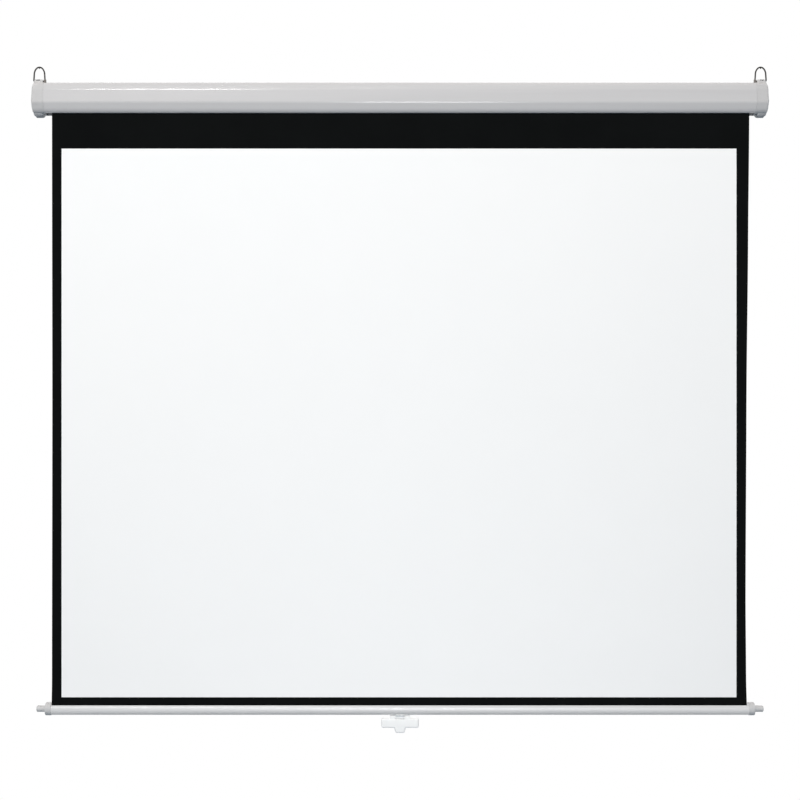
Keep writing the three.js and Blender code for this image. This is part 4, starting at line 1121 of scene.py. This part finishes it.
def buildBarEnd(name):
    face, c, collar, plug = barEnd["face"], barEnd["chamfer"], barEnd["collar"], barEnd["plug"]
    pin, nose, root, g = barEnd["pin"], barEnd["nose"], barEnd["pinRoot"], barEnd["groove"]
    plugEnd, collarEnd = face - barEnd["plugLength"], face + barEnd["collarLength"]
    middle, tip = face + barEnd["collarLength"] / 2, collarEnd + barEnd["pinLength"]
    profile = [(0, plugEnd), (plug - c, plugEnd), (plug, plugEnd + c), (plug, face)]
    profile += arc(collar - c, face + c, c, -90, 0, steps=6)
    profile += [(collar, middle - g), (collar - g * 0.7, middle - g * 0.3)]
    profile += [(collar - g * 0.7, middle + g * 0.3), (collar, middle + g)]
    profile += arc(collar - c, collarEnd - c, c, 0, 90, steps=6)
    profile += arc(pin + root, collarEnd + root, root, -90, -180, steps=4)
    profile += arc(pin - nose, tip - nose, nose, 0, 90, steps=8)
    profile += [(pin - nose - inwards, tip - down) for inwards, down in barEnd["dish"]]
    body = turnedX(name, profile + [(0, profile[-1][1])], *barAxis, sides=72)
    boreY, boreZ = bottomBar["boreY"], barAxis[1] + bottomBar["boreRise"]
    clear = bottomBar["bore"] + bottomBar["channelWall"] + barEnd["channelFit"]
    fromX, toX = plugEnd - overcut, face - barEnd["fullFace"]
    channel = roundX("channel", boreY, boreZ, clear, fromX, toX, sides=40)
    neckHalf, neckTop = bottomBar["slot"] / 2 + bottomBar["channelWall"] + barEnd["neckFit"], barEnd["neckTop"]
    neck = block("neck", (fromX, boreY - neckHalf, boreZ), (toX, boreY + neckHalf, barAxis[1] + neckTop))
    return carve(body, channel, neck)


rightBarEnd = buildBarEnd("barEndRight")
leftBarEnd = mirrored(rightBarEnd, "barEndLeft")
dress(rightBarEnd, barMoulding, "bottom_bar", ["bar_end_right"])
dress(leftBarEnd, barMoulding, "bottom_bar", ["bar_end_left"])
print("bottom bar built")


bracket = {
    "half": 11.2,
    "grip": 36,  # degrees that the saddle reaches round the bar, to each side of straight down
    "inner": 15.8,
    "outer": 18,
    "edge": 0.35,
    "pivotZ": -1589.6,
    "barrel": 4.2,
    "barrelEdge": 0.4,
    "tongue": 6,
    "tongueTuck": (0.05, 0.5),  # set in from the barrel's ends, and down from the saddle
    "bore": 1.85,
    "boreHalf": 20,
    "seat": (13, 16.8, 21),  # distances from the bar's axis: start, foot of the cone, end
    "seatFit": 0.3,
}
bracketScrew = {
    "angle": 26,  # degrees to each side of straight down
    "headRadius": 2.5,
    "headSide": 0.25,
    "headRise": 0.05,
    "radius": 1.3,
    "length": 8,
    "point": (0.75, 1.2),  # share of the radius, height
    "threadFrom": 1.3,
    "core": 0.78,
    "pitch": 0.8,
    "turns": 6,
    "slotHalf": 0.35,
    "slotReach": 1.5,
    "slotDepths": (1, 0.98),
}


def pointOut(piece, angle):
    # a piece made along the x axis then points straight out of the bar, at an angle in the (y, z) plane
    turn = math.radians(angle)
    c, s = math.cos(turn), math.sin(turn)
    for v in piece.data.vertices:
        out, a, b = v.co
        v.co = (b, barAxis[0] * mm + out * c - a * s, barAxis[1] * mm + out * s + a * c)
    reworkMesh(piece.data, faceOutwards)
    return piece


def buildBracket():
    cy, cz = barAxis
    half, inner, outer, pivotZ = bracket["half"], bracket["inner"], bracket["outer"], bracket["pivotZ"]
    start, end = -90 - bracket["grip"], -90 + bracket["grip"]
    outline = arc(cy, cz, outer, start, end, steps=24) + arc(cy, cz, inner, end, start, steps=24)
    saddle = softened(prismX("handleBracket", outline, -half, half), bracket["edge"], segments=2)
    barrel = roundX("barrel", cy, pivotZ, bracket["barrel"], -half, half)
    softened(barrel, bracket["barrelEdge"], segments=2)
    t, (side, down) = bracket["tongue"] / 2, bracket["tongueTuck"]
    web = block("web", (-half + side, cy - t, pivotZ), (half - side, cy + t, cz - inner - down))
    weld(saddle, barrel, web)
    tools = [roundX("bore", cy, pivotZ, bracket["bore"], -bracket["boreHalf"], bracket["boreHalf"], sides=32)]
    shank, head = bracketScrew["radius"] + bracket["seatFit"], bracketScrew["headRadius"] + bracket["seatFit"]
    low, cone, high = bracket["seat"]
    seat = [(0, low), (shank, low), (shank, cone), (head, outer), (head, high), (0, high)]
    for angle in (-90 - bracketScrew["angle"], -90 + bracketScrew["angle"]):
        tools.append(pointOut(turnedX("seat", seat, 0, 0, sides=32), angle))
    carve(saddle, *tools)
    dress(saddle, whiteMoulding, "bottom_bar", ["handle_bracket"])


def buildBracketScrew(name, angle):
    r, head, top = bracketScrew["radius"], bracketScrew["headRadius"], bracket["outer"]
    tip, (share, high) = top - bracketScrew["length"], bracketScrew["point"]
    profile = [(0, tip), (r * share, tip + high), *thread(bracketScrew, tip, (0.5,)), (r, bracket["seat"][1])]
    profile += [(head, top - bracketScrew["headSide"]), (head, top), (0, top + bracketScrew["headRise"])]
    screw = turnedX(name, profile, 0, 0, sides=32)
    return pointOut(crossCut(screw, bracketScrew, top, 0, 0), angle)


buildBracket()
for number, side in ((1, -1), (2, 1)):
    screw = buildBracketScrew(f"bracketScrew{number}", -90 + side * bracketScrew["angle"])
    dress(screw, brightZinc, "bottom_bar", [f"bracket_screw_{number}"])


handle = {
    "half": 48,
    "top": -1592.1,
    "low": -1616.4,
    "rear": -28.3,
    "front": -38.3,
    "corner": 5,
    "shoulder": 2.4,
    "armpit": 0.8,
    "tailTopHalf": 15,
    "tailHalf": 11,
    "tip": -1629.4,
    "edge": 3.4,
    "wall": 2.6,
    "pocket": 6,
    "rib": 1.8,
    "ribTuck": (2, 0.1, 1),  # in from the front, the rear and the low edge
    "lugInner": 11.6,
    "lugOuter": 25.6,
    "lugRadius": 4.5,
    "lugEdge": 0.6,
    "footTuck": (0.05, 0.02),  # in from the lug's inner end, and from its front and rear
    "notchLow": -1594.6,
    "notchFloor": 1.6,
    "bore": 1.85,
    "boreHalf": 28,
}


def handleOutline(inwards):
    half, top, low = handle["half"] - inwards, handle["top"] - inwards, handle["low"] + inwards
    tailTop, tailTip = handle["tailTopHalf"] - inwards, handle["tailHalf"] - inwards
    r, s = max(handle["corner"] - inwards, 0.5), max(handle["shoulder"] - inwards, 0.5)
    corners = [(tailTip, handle["tip"] + inwards, s), (tailTop, low, handle["armpit"] + inwards)]
    corners += [(half, low, r), (half, top, r)]
    corners += [(-x, z, radius) for x, z, radius in reversed(corners)]
    return filleted(corners, steps=8)


def buildHandle():
    cy, pz = barAxis[0], bracket["pivotZ"]
    rear, front, wall, low = handle["rear"], handle["front"], handle["wall"], handle["notchLow"]
    inner, outer, radius, half = handle["lugInner"], handle["lugOuter"], handle["lugRadius"], handle["rib"] / 2
    plate = prismY("pullHandle", handleOutline, rear, front, handle["edge"])
    carve(plate, prismY("pocket", handleOutline(wall), rear + overcut, rear - handle["pocket"]))
    (fromFront, fromRear, fromLow), (endTuck, sideTuck) = handle["ribTuck"], handle["footTuck"]
    extra = []
    for side in (-1, 1):
        x = side * handle["tailTopHalf"]
        a, b = sorted((side * inner, side * outer))
        ribStart = (x - half, front + fromFront, handle["low"] + fromLow)
        ribEnd = (x + half, rear - fromRear, low)
        footStart = (a + endTuck, cy - radius + sideTuck, low)
        footEnd = (b - handle["lugEdge"], cy + radius - sideTuck, pz)
        lug = softened(roundX("lug", cy, pz, radius, a, b), handle["lugEdge"])
        extra += [block("rib", ribStart, ribEnd), lug, block("foot", footStart, footEnd)]
    edge = handle["notchFloor"]
    extra.append(block("notchFloor", (-outer, front + edge, low - wall), (outer, rear - edge, low)))
    weld(plate, *extra)
    notch = block("notch", (-inner, case["front"], low), (inner, 0, pz + radius + overcut))
    reach = handle["boreHalf"]
    carve(plate, notch, roundX("bore", cy, pz, handle["bore"], -reach, reach, sides=32))
    dress(plate, whiteMoulding, "pull_handle", ["pull_handle"])


buildHandle()
print("handle built")


# oiled wire, wound evenly
spring = {"wire": 0.9, "mean": 9.2, "pitch": 10, "turns": 28, "perTurn": 28, "sides": 10}


def buildSpring():
    low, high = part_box("return_spring")
    startX = low.x / mm + spring["wire"]
    length = (high.x - low.x) / mm - 2 * spring["wire"]
    total, n = spring["turns"] * spring["perTurn"], spring["sides"]
    slope = math.atan2(spring["pitch"], 2 * math.pi * spring["mean"])
    rings = []
    for i in range(total + 1):
        turn = 2 * math.pi * i / spring["perTurn"]
        out = Vector((0, math.cos(turn), math.sin(turn)))
        across = Vector((-math.cos(slope), out.z * math.sin(slope), -out.y * math.sin(slope)))
        middle = Vector((startX + length * i / total, *rollerAxis)) + out * spring["mean"]
        angles = [2 * math.pi * k / n for k in range(n)]
        rings.append([middle + (out * math.cos(a) + across * math.sin(a)) * spring["wire"] for a in angles])
    coil = skinned("returnSpring", rings)
    dress(coil, springWire, "housing", ["return_spring"], sharpAngle=60)


buildSpring()


# the pieces inside keep their CAD mesh and get their finishes
innerFinishes = {
    "roller_tube": galvanised,
    "idle_plug": naturalNylon,
    "idle_bush": naturalNylon,
    "drive_plug": naturalNylon,
    "spring_anchor": naturalNylon,
    "hem_rod": naturalNylon,
    "spring_shaft": brightZinc,
    "ratchet_disc": springWire,
    "lock_pawl_upper": brightZinc,
    "lock_pawl_lower": brightZinc,
    "shaft_clip": springWire,
    "handle_pin": brightZinc,
}
for node, material in innerFinishes.items():
    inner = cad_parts[node]
    inner.data.materials.clear()
    inner.data.materials.append(material)
print("inner pieces finished")
